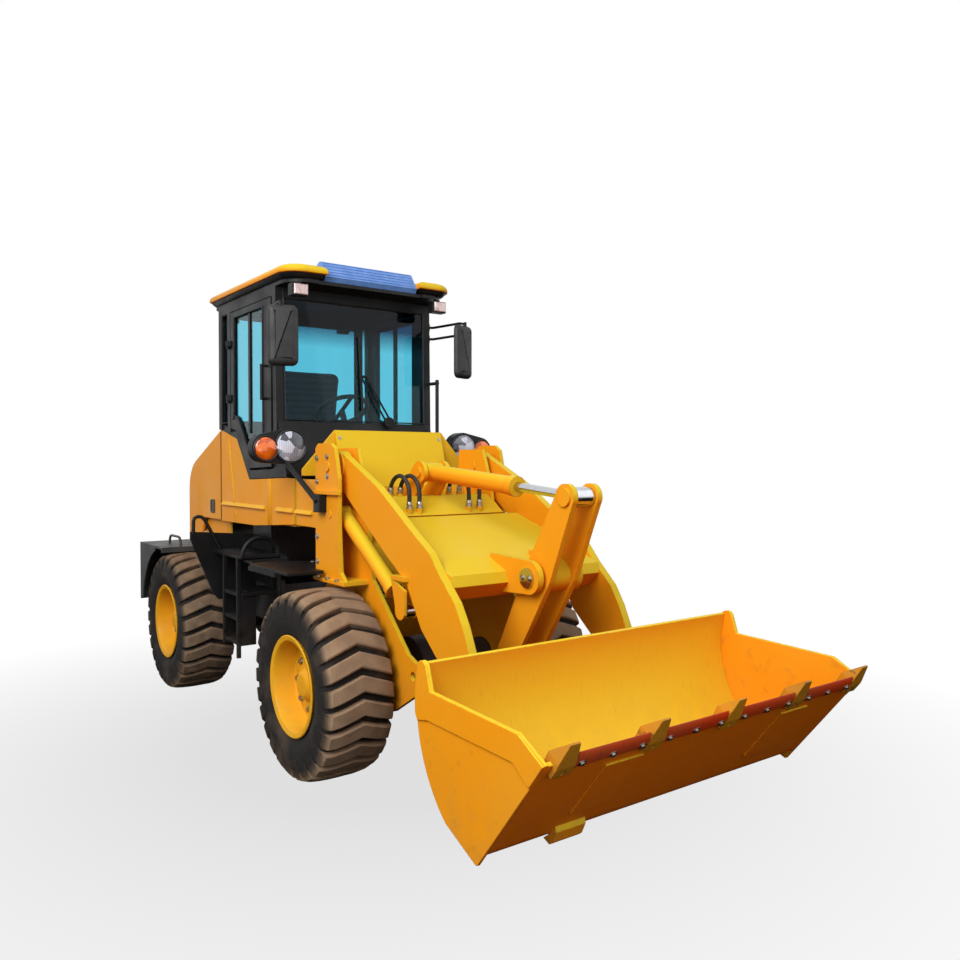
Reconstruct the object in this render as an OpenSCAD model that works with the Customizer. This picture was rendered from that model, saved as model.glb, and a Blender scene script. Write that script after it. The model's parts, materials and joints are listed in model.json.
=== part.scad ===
// Compact articulated wheel loader with a Z-bar bucket linkage.
// Millimetres, X forward, Y to the machine's left, Z up, ground at zero.

/* [Wheels] */
// distance between the axles
wheelbase = 2415; // [2200:5:2600]
// distance between the tyre centres
track = 1408; // [1300:2:1500]
// tyre radius out to the lug tips
tyre_r = 535; // [480:1:580]
// tyre width
tyre_w = 405; // [340:1:440]
// rim seat radius
rim_r = 268; // [230:1:290]
// radial height of a lug
lug_h = 32; // [15:1:40]
// lug bars round a tyre
lug_n = 26; // [18:1:28]

/* [Bucket] */
// width over the side plates
bucket_w = 1982; // [1700:2:2200]
// roll-back angle of the floor
bucket_roll = 51.5; // [40:0.5:60]
// floor length from the heel to the edge
floor_l = 640; // [560:5:720]
// thickness of the bent sheet
sheet_t = 18; // [12:1:25]
// thickness of a side plate
side_t = 24; // [16:1:30]
// length of a tooth beyond the edge
tooth_reach = 95; // [70:5:140]
// number of teeth
tooth_n = 5; // [3:2:7]

/* [Linkage] */
// middle plane of a lift arm
arm_y = 520; // [500:1:540]
// lift arm plate thickness
arm_t = 46; // [30:1:60]
// radius of the linkage pins
pin_r = 32; // [25:1:40]
// radial clearance of a pin in its bore
pin_clear = 0.5; // [0.3:0.1:2]
// gap between an eye and its ears
ear_gap = 7; // [5:0.5:12]

/* [Cab] */
// half width of the cab over the doors
cab_hw = 608; // [604:1:612]
// height of the roof underside
roof_z = 2985; // [2900:5:3050]
// thickness of the roof shell
roof_t = 90; // [70:1:120]
// section of a cab post
post_t = 55; // [40:1:80]
// window pane thickness
glass_t = 6; // [4:0.5:10]

/* [Body] */
// half width of the hood
hood_hw = 560; // [520:1:575]
// thickness of the pressed panels
panel_t = 18; // [8:1:25]
// length behind the rear axle
overhang = 675; // [660:5:700]

/* [Hoses] */
// outside diameter of a hose
hose_d = 26; // [18:2:32]
// bend radius of a hose arch
hose_bend = 112; // [104:4:116]

/* [Hidden] */
$fn = 48;
axle_z = tyre_r;
rear_x = -wheelbase;
rear_end = rear_x-overhang;
tail = rear_end+185;
hood_tail = rear_end+220;
cab_back = -1985;
post_out = cab_hw-3;
post_in = post_out-post_t;
liner_z = roof_z-25;
visor_hw = 352;
pivot_x = -wheelbase/2;
hose_x = 70;
hose_z = 1602;
port_z = 1522;
hose_y = [-220, -150, 210, 290];
wheel_y = track/2;
heel = [1903, 279];
heel_r = 170;
heel_back = 55;
back_c = [510.6, 220];
back_r = back_c[0]+heel_back;
back_end = 112;
tip_x = heel[0]+(floor_l+tooth_reach)*cos(bucket_roll)+2*sin(bucket_roll);
x_shift = -(tip_x+rear_end)/2;
arm_in = arm_y-arm_t/2;
arm_out = arm_y+arm_t/2;
ear_t = 20;
pin_flange = 16;
ear_in = arm_in-ear_gap-ear_t;
ear_out = arm_out+ear_gap;
p_arm = [-100, 1770];
p_crank = [1190, 1220];
p_top = [1403, 1627];
p_low = [900, 700];
p_base = [85, 1735];
p_lift = [-70, 1490];
p_eye = [650, 1020];
a_bucket = [-160, 224];
d_bucket = [-100, 430];
tower_in = 455;
tower_out = 600;
tower_t = 25;
crank_y = 80;
crank_t = 30;
link_hw = 48;
lift_d = [p_eye[0]-p_lift[0], p_eye[1]-p_lift[1]];
lift_len = norm(lift_d);
lift_ang = atan2(lift_d[0], lift_d[1]);
tilt_d = [p_top[0]-p_base[0], p_top[1]-p_base[1]];
tilt_len = norm(tilt_d);
tilt_ang = atan2(tilt_d[0], tilt_d[1]);
steer_z = 710;
nose_l = 230;
nose_z = 40;
seat_gap = 0.3;
axle_r = 118;
stub_r = 60;
hinge_x = -1725;
hinge_y = cab_hw+16;
hood_x = -2003;
hood_z = 2068;
steer_base = [-1500, 215];
steer_eye = [-900, 230];
steer_d = [steer_eye[0]-steer_base[0], steer_eye[1]-steer_base[1]];
steer_len = norm(steer_d);
steer_ang = atan2(steer_d[1], steer_d[0]);
hinge_a = bucket_pt(a_bucket);
hinge_d = bucket_pt(d_bucket);
yellow = [0.93, 0.66, 0.12];
black = [0.10, 0.10, 0.11];
dark = [0.22, 0.22, 0.23];
steel = [0.72, 0.73, 0.75];

// bucket frame point [s, n] carried to the machine's [x, z]
function bucket_pt(p) = [heel[0]+p[0]*cos(bucket_roll)-p[1]*sin(bucket_roll),
                         heel[1]+p[0]*sin(bucket_roll)+p[1]*cos(bucket_roll)];

// points along a round stretch of an outline
function arc_pts(c, r, a0, a1, n) = [for (i = [0:n]) c+r*[cos(a0+(a1-a0)*i/n), sin(a0+(a1-a0)*i/n)]];

// moves a piece drawn from the front axle into the shared frame
module put() {
  translate([x_shift, 0, 0]) children();
}

// side-view plate between two Y values
module plate(pts, y0, y1) {
  translate([0, y1, 0]) rotate([90, 0, 0]) linear_extrude(y1-y0) polygon(pts);
}

// pin along Y at a side-view point
module ycyl(p, y0, y1, r) {
  translate([p[0], y1, p[1]]) rotate([90, 0, 0]) cylinder(h=y1-y0, r=r);
}

// round bar between two points
module bar(p, q, r) {
  d = q-p;
  l = norm(d);
  translate(p) rotate([0, acos(d[2]/l), atan2(d[1], d[0])]) cylinder(h=l, r=r, $fn=24);
}

// box from one corner to the other
module span(a, b) {
  translate(a) cube(b-a);
}

// same piece on both sides
module both() {
  children();
  mirror([0, 1, 0]) children();
}

// piece drawn in the bucket's own frame, floor along X
module in_bucket() {
  translate([heel[0], 0, heel[1]]) rotate([0, -bucket_roll, 0]) children();
}

// piece drawn along X from a linkage point
module along(p, ang) {
  translate([p[0], 0, p[1]]) rotate([0, ang-90, 0]) children();
}

// wheel stations, outboard side along +Y of the wheel
module station(x, side) {
  translate([x, side*wheel_y, axle_z]) rotate([0, 0, side > 0 ? 0 : 180]) children();
}

// carcass with its bars, the points of the bars lead on one side
module tyre(lead) {
  hw = tyre_w/2;
  rc = tyre_r-lug_h;
  pitch = 360/lug_n;
  w = tyre_r*2*sin(pitch/2)*0.36;
  v = 38;
  color(black) {
    rotate([-90, 0, 0]) rotate_extrude($fn=48) polygon([[rim_r, -hw+45], [rim_r+30, -hw+12],
      [rim_r+100, -hw],
      [rc-55, -hw+6], [rc, -hw+60], [rc, hw-60], [rc-55, hw-6], [rim_r+100, hw], [rim_r+30, hw-12],
        [rim_r, hw-45]]);
    for (i = [0:lug_n-1]) rotate([0, i*pitch, 0]) intersection() {
      translate([0, 0, rc-80]) linear_extrude(lug_h+80) polygon([[-w-lead*v, -hw], [-w, 0],
        [-w-lead*v, hw], [w-lead*v, hw],
        [w, 0], [w-lead*v, -hw]]);
      rotate([90, 0, 90]) linear_extrude(400, center=true) polygon([[-hw+2, rc-78], [-hw+26, tyre_r-40],
        [-hw+62, tyre_r-3],
        [hw-62, tyre_r-3], [hw-26, tyre_r-40], [hw-2, rc-78]]);
    }
  }
}

// dished rim with its hub
module rim() {
  hw = tyre_w/2;
  color(yellow) rotate([-90, 0, 0]) rotate_extrude($fn=64) polygon([[rim_r-1, -hw+35], [rim_r+20, -hw+20],
    [rim_r+20, -hw+10], [rim_r-14, -hw+14], [rim_r-26, -hw+40], [rim_r-26, 30], [110, 62],
      [stub_r+pin_clear, 62],
    [stub_r+pin_clear, 95], [0, 95], [0, 125], [70, 125], [84, 110], [95, 84], [112, 82],
      [rim_r-32, 52], [rim_r-26, 70],
    [rim_r-26, hw-40], [rim_r-14, hw-14], [rim_r+20, hw-10], [rim_r+20, hw-20], [rim_r-1, hw-35]]);
}

// housing with its end hubs and the pinion nose
module axle(facing) {
  rotate([90, 0, 0]) cylinder(h=2*(wheel_y+30), r=92, center=true);
  rotate([90, 0, 0]) cylinder(h=2*(wheel_y+92), r=stub_r, center=true);
  rotate([90, 0, 0]) cylinder(h=960, r=axle_r, center=true);
  translate([0, 0, nose_z]) rotate([0, 90*facing, 0]) cylinder(h=nose_l, r=60);
  rotate([90, 0, 0]) cylinder(h=230, r=185, center=true);
  both() translate([0, wheel_y+44, 0]) rotate([90, 0, 0]) cylinder(h=80, r=150);
  translate([-60, -95, -70]) cube([120, 190, 215]);
}

// rear half of the chassis with the pivot clevis
module rear_frame() {
  put() color(dark) {
    union() {
        both() plate([[-1370, 600], [-1370, 930], [-1900, 1010], [tail, 1010], [tail, 700], [tail+305, 660],
          [-2100, 660], [-1900, 600]], 335, 360);
        difference() {
          span([-1395, -360, 560], [-1370, 360, 900]);
          both() span([-1400, 122, 605], [-1365, 334, 785]);
        }
        span([tail, -360, 700], [tail+25, 360, 1010]);
        span([-2060, -345, 960], [-2000, 345, 1010]);
        span([tail+145, -345, 940], [tail+205, 345, 1010]);
        for (z = [545, 835]) {
          span([-1380, -150, z], [pivot_x, 150, z+40]);
          translate([pivot_x, 0, z]) cylinder(h=40, r=150);
        }
        span([-1520, -342, 560], [-1370, 342, 600]);
        span([-1560, -342, 790], [-1370, 342, 830]);
        both() span([rear_x-150, 300, axle_z+axle_r+seat_gap], [rear_x+150, 345, 720]);
    }
    translate([pivot_x, 0, 535]) cylinder(h=350, r=38);
    both() translate([steer_base[0], steer_base[1], 598]) cylinder(h=194, r=20);
  }
}

// rear axle under the chassis
module rear_axle() {
  put() color(dark) translate([rear_x, 0, axle_z]) axle(1);
}

// engine block between the chassis rails
module engine() {
  put() color(dark) {
    span([tail+145, -250, 1010], [-2000, 250, 1500]);
    span([tail+115, -300, 1010], [tail+146, 300, 1560]);
  }
}

// cast weight at the tail with the tow jaw
module counterweight() {
  put() color(dark) difference() {
    plate([[tail, 600], [tail, 1180], [rear_end+30, 1180], [rear_end, 1150], [rear_end, 640],
      [rear_end+40, 600]], -460, 460);
    span([rear_end-5, -70, 760], [rear_end+100, 70, 860]);
    translate([rear_end+50, 0, 500]) cylinder(h=800, r=18);
  }
}

// pressed panels below the cab
module body_panels() {
  put() color(yellow) {
    both() plate([[-620, 1395], [-620, 1690], [-740, 1693], [-1395, 1672], [-1640, 1965],
      [cab_back, 2046], [cab_back, 1345],
      [-1300, 1350]], 574, 574+panel_t);
    span([-638, -574, 1400], [-620, 574, 1600]);
    span([cab_back, -574, 1380], [-638, 574, 1398]);
    both() span([-1700, 330, 981], [-1640, 372, 1380]);
  }
}

// box fenders over the rear wheels
module rear_fenders() {
  put() color(dark) both() {
    plate([[rear_end+50, 640], [rear_end+68, 640], [rear_end+68, 1102], [rear_x-5, 1102],
      [rear_x-5, 1078], [rear_x+10, 1078],
      [rear_x+10, 1120], [rear_end+50, 1120]], 462, 925);
    plate(concat([[rear_end+50, 640], [rear_end+50, 1120], [-2600, 1120]],
      arc_pts([rear_x, axle_z], 575, 109, 168, 8)), 914, 925);
    span([tail+25, 360, 1000], [-1900, 470, 1020]);
    span([rear_end+60, 462, 1000], [-2420, 480, 1110]);
  }
}

// platforms, ladders and splash panels at the sides
module step_units() {
  put() color(black) both() {
    span([-1740, 415, 1128], [-1190, 735, 1150]);
    span([-1740, 415, 900], [-1390, 432, 1344]);
    span([-1480, 360, 880], [-1400, 420, 940]);
    span([-1720, 360, 920], [-1660, 420, 980]);
    translate([-1756, 0, 0]) rotate([90, 0, 90]) linear_extrude(18) polygon([[415, 780], [700, 780],
      [740, 830], [905, 1240],
      [905, 1290], [415, 1250]]);
    for (x = [-1540, -1270]) span([x-13, 710, x < -1400 ? 498 : 433], [x+13, 735, 1130]);
    for (z = [520, 690, 860]) span([-1530, 600, z], [-1280, 728, z+24]);
    for (x = [-1540, -1270]) span([x-11, 600, 515], [x+11, 715, 880]);
    span([-1560, 432, 860], [-1250, 700, 884]);
    plate(concat([[-1250, 520], [-1250, 1140], [-1080, 1140]], arc_pts([-1080, 980], 120, 90, 180, 6),
      [[-1200, 700], [-1165, 520]]), 434, 450);
    span([-1250, 434, 1104], [-1080, 700, 1122]);
    translate([-1200, 590, 1140]) rotate([90, 0, 90]) rotate_extrude(angle=180, $fn=32) translate([130,
      0]) circle(r=14, $fn=16);
  }
}

// posts, sills and the cab floor
module cab_frame() {
  put() color(black) {
    both() {
      plate([[-868, 2000], [-868-post_t, 2000], [-883-post_t, liner_z],
        [-883, liner_z]], post_in, post_out);
      span([-1980, post_in, 2045], [-1980+post_t, post_out, liner_z]);
      span([-1790, post_in, 2020], [-1790+post_t, post_out, liner_z]);
      span([-1980, post_in, liner_z-55], [-883, post_out, liner_z]);
      for (z = [2250, 2650]) {
        translate([hinge_x, hinge_y, z-16]) cylinder(h=62, r=9);
        span([-1747, post_out-5, z-16], [hinge_x+4, hinge_y+6, z-2]);
      }
      plate([[cab_back, 2050], [-1640, 1969], [-1397, 1676], [-740, 1697], [-740, 1720], [-860, 2070],
        [-945, 2070], [-945, 1752],
        [-1372, 1738], [-1632, 2012], [cab_back, 2100]], 556, 592);
      ycyl([hood_x, hood_z], 280, 345, 9);
      span([hood_x-12, 280, 2052], [-1979, 295, hood_z+12]);
    }
    plate([[-740, 1697], [-754, 1697], [-884, 2072], [-868, 2072]], -570, 570);
    span([-905, -post_in-2, 2895], [-880, post_in+2, liner_z]);
    span([-1980, -post_in-2, 2045], [-1925, post_in+2, 2105]);
    span([-1980, -post_in-2, liner_z-55], [-1925, post_in+2, liner_z]);
    span([cab_back, -556, 1600], [-745, 556, 1620]);
    span([cab_back, -556, 1600], [cab_back+18, 556, 2060]);
    both() span([cab_back, 540, 1600], [-745, 556.5, 1720]);
    difference() {
      roof_plan(45, liner_z, roof_z);
      span([-660, -400, liner_z-1], [-500, 400, roof_z+1]);
    }
    bar([-830, 574, 1790], [-762, 606, 1882], 13);
    bar([-770, 600, 1850], [-770, 600, 2400], 13);
    bar([-905, 578, 2375], [-760, 602, 2375], 12);
  }
}

// slab in the plan of the roof, drawn in from its edge
module roof_plan(inset, z0, z1) {
  r = 150;
  x0 = -2100+inset;
  x1 = -600-inset;
  y1 = 650-inset;
  plate_xy(concat(arc_pts([x1-r, y1-r], r, 0, 90, 8), [[x0+30, y1], [x0, y1-30], [x0, 30-y1], [x0+30, -y1]],
    arc_pts([x1-r, r-y1], r, 270, 360, 8)), z0, z1);
}

// rounded roof canopy
module cab_roof() {
  put() color(yellow) difference() {
    union() {
      roof_plan(0, roof_z, roof_z+roof_t*0.55);
      roof_plan(14, roof_z+roof_t*0.5, roof_z+roof_t*0.8);
      roof_plan(40, roof_z+roof_t*0.75, roof_z+roof_t);
    }
    span([-850, -visor_hw, roof_z-1], [-500, visor_hw, roof_z+roof_t+1]);
  }
}

// ribbed panel at the front of the roof
module roof_visor() {
  top = roof_z+roof_t;
  put() color([0.44, 0.61, 0.92]) difference() {
    plate([[-850, roof_z], [-668, roof_z], [-650, roof_z+32], [-726, top+52], [-750, top+52],
      [-850, top]], -visor_hw, visor_hw);
    for (i = [0:4]) translate([-656-i*15, 0, roof_z+48+i*22]) rotate([0, -39, 0]) cube([16,
      2*visor_hw-24, 7], center=true);
  }
}

// fixed panes of the cab
module cab_glass() {
  put() color([0.35, 0.60, 0.66]) {
    plate([[-872, 2072], [-872-glass_t, 2072], [-886-glass_t, 2895], [-886, 2895]], -post_in, post_in);
    span([-1950, -post_in, 2105], [-1950+glass_t, post_in, liner_z-55]);
    both() plate([[-1925, 2091], [-1925, liner_z-55], [-1790, liner_z-55],
      [-1790, 2057]], 575, 575+glass_t);
  }
}

// seat pedestal
module seat_base() {
  put() color(black) {
    span([-1730, -180, 1620], [-1370, 180, 1900]);
    span([-1770, -240, 1900], [-1280, 240, 1930]);
  }
}

// cushion and back of the seat
module seat_pads() {
  put() color(dark) {
    span([-1730, -240, 1930], [-1260, 240, 2030]);
    plate([[-1730, 2030], [-1630, 2030], [-1720, 2560], [-1800, 2560]], -225, 225);
  }
}

// steering column, wheel and levers
module console() {
  put() color(black) {
    plate([[-900, 1620], [-1040, 1620], [-1100, 2080], [-1040, 2100], [-920, 2030]], -110, 110);
    translate([-1120, 0, 2170]) rotate([0, -30, 0]) {
      rotate_extrude() translate([185, 0]) circle(r=16, $fn=16);
      translate([-185, -14, -6]) cube([370, 28, 12]);
    }
    bar([-1070, 0, 2075], [-1120, 0, 2170], 22);
    span([-1630, -420, 1620], [-1230, -270, 2060]);
    for (x = [-1310, -1380]) bar([x, -345, 2058], [x+15, -345, 2200], 11);
  }
}

// blade and arms on the windscreen
module wiper() {
  put() color(black) {
    bar([-846, 215, 2085], [-864, 20, 2400], 7);
    bar([-846, 255, 2085], [-864, 60, 2400], 7);
    bar([-858, 30, 2160], [-871, 10, 2680], 9);
    bar([-864, 10, 2398], [-864, 66, 2398], 10);
    translate([-856, 235, 2080]) rotate([0, 90, 0]) cylinder(h=22, r=38);
  }
}

// mirrors on tube brackets
module mirrors() {
  put() color(black) both() {
    for (z = [2715, 2800]) {
      span([-915, post_out, z-25], [-885, post_out+14, z+25]);
      bar([-900, post_out+10, z], [-560, 705, z+5], 10);
    }
    bar([-560, 705, 2640], [-560, 705, 2812], 12);
    translate([-556, 690, 2590]) rotate([0, 0, 20]) {
      cube([46, 190, 330], center=true);
      translate([-6, 0, 0]) cube([34, 150, 385], center=true);
    }
  }
}

// square lamps under the roof edge
module work_lamps() {
  put() {
    color(black) both() {
      span([-705, 478, liner_z-92], [-638, 590, liner_z-14]);
      span([-690, 520, liner_z-15], [-655, 548, liner_z]);
      span([-2060, 430, liner_z-80], [-2000, 520, liner_z]);
    }
    color([0.95, 0.80, 0.80]) both() span([-640, 486, liner_z-86], [-630, 582, liner_z-20]);
  }
}

// shaft between the gearbox and the rear axle
module drive_shaft() {
  put() color(steel) {
    translate([rear_x+nose_l, 0, axle_z+nose_z]) rotate([0, 90, 0]) cylinder(h=-1520-rear_x-nose_l, r=35);
  }
}

// engine hood that lifts at the tail
module hood() {
  put() color(yellow) difference() {
    plate(concat([[-2015, 1345], [-2015, 2050], [-2070, 2046]], arc_pts([hood_tail+260, 1560], 260, 112,
      180, 6),
      [[hood_tail, 1200], [hood_tail+330, 1200], [-2480, 1345]]), -hood_hw, hood_hw);
    plate(concat([[-2000, 1100], [-2000, 2050-panel_t], [-2066, 2046-panel_t]],
      arc_pts([hood_tail+260, 1560], 260-panel_t, 112, 180, 6), [[hood_tail+panel_t, 1100]]),
        -hood_hw+panel_t, hood_hw-panel_t);
    span([hood_tail-30, -330, 1280], [hood_tail+40, 330, 1520]);
  }
  put() color(yellow) both() difference() {
    union() {
      ycyl([hood_x, hood_z], 300, 340, 17);
      span([-2050, 300, 2045], [hood_x, 340, 2066]);
    }
    ycyl([hood_x, hood_z], 200, 400, 9+pin_clear);
  }
}

// louvred grille in the tail of the hood
module grille() {
  put() color(black) {
    for (z = [1290:38:1500]) span([hood_tail+4, -330, z], [hood_tail+16, 330, z+22]);
    both() span([hood_tail+4, 311, 1280], [hood_tail+16, 330, 1520]);
  }
}

// door frame with its window opening
module door() {
  color(black) difference() {
    plate([[-1715, 2047], [-1715, liner_z-62], [-952, liner_z-62], [-952, 1765], [-1368, 1752],
      [-1620, 2030]], cab_hw-30, cab_hw);
    plate([[-1640, 2140], [-1640, liner_z-105], [-1090, liner_z-105], [-1090, 1850], [-1330, 1840],
      [-1570, 2120]], cab_hw-60, cab_hw+10);
  }
  color(black) span([-1372, cab_hw-28, 2000], [-1340, cab_hw-4, liner_z-100]);
  color(dark) for (z = [2225, 2445]) bar([-1015, cab_hw-2, z], [-1015, cab_hw+40, z], 9);
  color(dark) bar([-1015, cab_hw+40, 2215], [-1015, cab_hw+40, 2455], 11);
  color(dark) span([-1690, cab_hw-2, 2110], [-1650, cab_hw+8, 2170]);
  color(dark) for (z = [2250, 2650]) difference() {
    union() {
      translate([hinge_x, hinge_y, z]) cylinder(h=40, r=16);
      span([hinge_x, cab_hw-1, z], [-1675, hinge_y, z+40]);
    }
    translate([hinge_x, hinge_y, z-1]) cylinder(h=42, r=9+pin_clear);
  }
}

// pane of a door
module door_pane() {
  color([0.35, 0.60, 0.66]) difference() {
    plate([[-1640, 2140], [-1640, liner_z-105], [-1090, liner_z-105], [-1090, 1850], [-1330, 1840],
      [-1570, 2120]],
      cab_hw-18, cab_hw-18+glass_t);
    span([-1372, cab_hw-40, 2000], [-1340, cab_hw, liner_z-100]);
  }
}

// left cab door
module door_left() {
  put() door();
}

// right cab door
module door_right() {
  put() mirror([0, 1, 0]) door();
}

// left door pane
module door_glass_left() {
  put() door_pane();
}

// right door pane
module door_glass_right() {
  put() mirror([0, 1, 0]) door_pane();
}

// front half of the chassis with the loader tower
module front_frame() {
  put() color(yellow) {
    difference() {
      union() {
        both() plate([[-560, 420], [-560, 900], [-300, 1120], [-260, 1880], [0, 1880], [90, 1640],
          [180, 1120], [560, 760],
          [720, 700], [720, 600], [420, 420]], tower_in-tower_t/2, tower_in+tower_t/2);
        span([-250, -tower_in, 1545], [60, tower_in, 1590]);
        for (y = hose_y) {
          translate([hose_x-hose_bend, y, 1575]) cylinder(h=hose_z-1575, r=20);
          translate([hose_x+hose_bend, y, 1482]) cylinder(h=port_z-1482, r=20);
        }
        plate([[-250, 1545], [-215, 1590], [60, 1590], [214, 1480], [195, 1455],
          [40, 1560]], -tower_in, tower_in);
        plate([[40, 1400], [70, 1400], [330, 1090], [300, 1080]], -tower_in, tower_in);
        span([-560, -tower_in, 500], [-535, tower_in, 880]);
        span([460, -tower_in, 560], [560, tower_in, 640]);
        for (z = [590, 780]) {
          plate_xy([[-535, -330], [-850, -285], [-950, -255], [pivot_x+60, -128], [pivot_x, -128],
            [pivot_x, 128], [pivot_x+60, 128], [-950, 255], [-850, 285], [-535, 330]],
            z, z+50);
          translate([pivot_x, 0, z]) cylinder(h=50, r=128);
        }
        both() plate([[-150, 1585], [40, 1585], [p_base[0]+62, p_base[1]-20], [p_base[0], p_base[1]+70],
          [p_base[0]-60, p_base[1]+40]], 62+ear_gap, 62+ear_gap+26);
        both() ycyl(p_base, 62+ear_gap, 62+ear_gap+26, 68);
      }
      translate([pivot_x, 0, 500]) cylinder(h=400, r=38+pin_clear);
      both() ycyl([620, 655], 400, 520, 24);
      ycyl([0, axle_z], -500, 500, axle_r+seat_gap);
    }
    both() {
      ycyl(p_arm, tower_in-20, tower_out+20, pin_r);
      ycyl(p_lift, tower_in-10, tower_out+16, 26);
      translate([steer_eye[0], steer_eye[1], 638]) cylinder(h=144, r=20);
    }
    ycyl(p_base, -62-ear_gap-36, 62+ear_gap+36, pin_r-2);
  }
}

// outer tower plates with their webs, flanges and feet
module tower_plates() {
  foot = tower_in+tower_t/2;
  put() color(yellow) both() difference() {
    union() {
      plate([[-260, 1090], [-260, 1880], [-225, 1908], [-60, 1908], [-5, 1875], [40, 1700], [40, 1420],
        [60, 1160], [140, 1090]],
        tower_out-tower_t/2, tower_out+tower_t/2);
      span([-262, foot, 1090], [-240, tower_out, 1880]);
      span([-262, foot, 1090], [140, tower_out+30, 1112]);
      span([-262, tower_out, 1606], [52, tower_out+34, 1628]);
      span([-585, 575, 1396], [-262, 593, 1690]);
      span([-290, 575, 1396], [-255, 605, 1690]);
    }
    ycyl(p_arm, 500, 700, pin_r+seat_gap);
    ycyl(p_lift, 500, 700, 26+seat_gap);
  }
}

// flat plate between two heights
module plate_xy(pts, z0, z1) {
  translate([0, 0, z0]) linear_extrude(z1-z0) polygon(pts);
}

// front axle under the tower
module front_axle() {
  put() color(dark) translate([0, 0, axle_z]) axle(-1);
}

// pressed cover between the towers
module front_cover() {
  put() color(yellow) {
    plate([[-440, 2000], [-422, 2000], [-322, 1640], [-340, 1640]], -400, 400);
    both() translate([-440, 0, 0]) rotate([90, 0, 90]) linear_extrude(18) polygon([[385, 2000],
      [400, 2000], [622, 1752], [622, 1712],
      [385, 1712]]);
    span([-345, -440, 1592], [-200, 440, 1642]);
    both() span([-345, 395, 1592], [-325, 440, 1720]);
    both() span([-440, 430, 1712], [-330, 440, 1722]);
  }
}

// flat guards over the front wheels
module front_fenders() {
  put() color(black) both() {
    plate_xy([[-600, 500], [-500, 470], [-264, 470], [-264, 632], [-110, 632], [-110, 860], [-690, 860],
      [-722, 830], [-722, 640]],
      1140, 1158);
    span([-722, 845, 1112], [-300, 860, 1141]);
    span([-590, 470, 1100], [-500, 520, 1141]);
  }
}

// lamp pods on their bars
module headlamps() {
  put() {
    color(black) both() {
      bar([-150, 655, 1565], [-548, 690, 1812], 16);
      span([-190, tower_out+tower_t/2, 1500], [-110, 660, 1605]);
      translate([-600, 0, 1890]) rotate([90, 0, 90]) linear_extrude(78) hull() {
        translate([660, 5]) circle(r=112, $fn=40);
        translate([815, -8]) circle(r=92, $fn=40);
      }
    }
    color([0.9, 0.9, 0.88]) both() translate([-524, 660, 1895]) rotate([0, 90, 0]) cylinder(h=12, r=98);
    color([0.95, 0.5, 0.1]) both() translate([-524, 822, 1880]) rotate([0, 90, 0]) cylinder(h=12, r=72);
  }
}

// arched hose runs on the tower
module hoses() {
  put() color(black) {
    for (y = hose_y) {
      translate([hose_x, y, hose_z]) rotate([90, 0, 0]) arch();
      translate([hose_x+hose_bend, y, port_z]) cylinder(h=hose_z-port_z, r=hose_d/2);
    }
  }
}

// half ring of hose standing on its ends
module arch() {
  rotate_extrude(angle=180, $fn=32) translate([hose_bend, 0]) circle(r=hose_d/2, $fn=24);
}

// side plates of the loader with the cross beam and crank ears
module lift_arms() {
  put() color(yellow) {
    difference() {
      union() {
        both() {
          plate([[-130, 1858], [-40, 1845], [370, 1660], [760, 1420], [900, 1340], [990, 1240],
            [1120, 1120],
            [1185, 1020], [1250, 880], hinge_a+[48, 42], hinge_a+[-42, -46], [1010, 790], [820, 950],
              [675, 1170],
            [460, 1300], [-150, 1700]], arm_in, arm_out);
          ycyl(p_arm, arm_in-12, arm_out+12, 92);
          ycyl(hinge_a, arm_in, arm_out, 64);
          plate([[560, 1180], [700, 1130], [p_eye[0]+48, p_eye[1]-20], [p_eye[0]-30, p_eye[1]-40]],
            arm_y-24-ear_gap-16, arm_y-24-ear_gap);
          plate([[560, 1180], [700, 1130], [p_eye[0]+48, p_eye[1]-20], [p_eye[0]-30, p_eye[1]-40]],
            arm_y+24+ear_gap, arm_y+24+ear_gap+16);
          ycyl(p_eye, arm_y-24-ear_gap-16, arm_y-24-ear_gap, 48);
          ycyl(p_eye, arm_y+24+ear_gap, arm_y+24+ear_gap+16, 48);
          span([560, arm_y-24-ear_gap-16, 1175], [700, arm_y+24+ear_gap+16, 1200]);
          plate([[p_crank[0], p_crank[1]+85], [880, 1318], [870, 1120],
            [p_crank[0]-20, p_crank[1]-85]], 114, 148);
          ycyl(p_crank, 114, 148, 86);
        }
        plate([[285, 1430], [800, 1215], [845, 1110], [960, 1105], [1035, 1180], [1020, 1235],
          [870, 1300], [300, 1480]], -arm_in-1, arm_in+1);
      }
      both() ycyl(p_arm, 300, 700, pin_r+pin_clear);
      both() ycyl(hinge_a, 300, 700, pin_r+pin_clear);
      ycyl(p_crank, -200, 200, pin_r+pin_clear);
    }
  }
}

// pins at the foot of the lift arms
module bucket_pins() {
  put() color(steel) both() {
    ycyl(hinge_a, ear_in-14, ear_out+ear_t+14, pin_r);
    ycyl(hinge_a, ear_in-14, ear_in-2, pin_r+pin_flange);
    ycyl(hinge_a, ear_out+ear_t+2, ear_out+ear_t+14, pin_r+pin_flange);
  }
}

// pin of the bell crank
module crank_pin() {
  put() color(steel) {
    ycyl(p_crank, -160, 160, pin_r);
    both() ycyl(p_crank, 149.5, 162, 50);
  }
}

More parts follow.
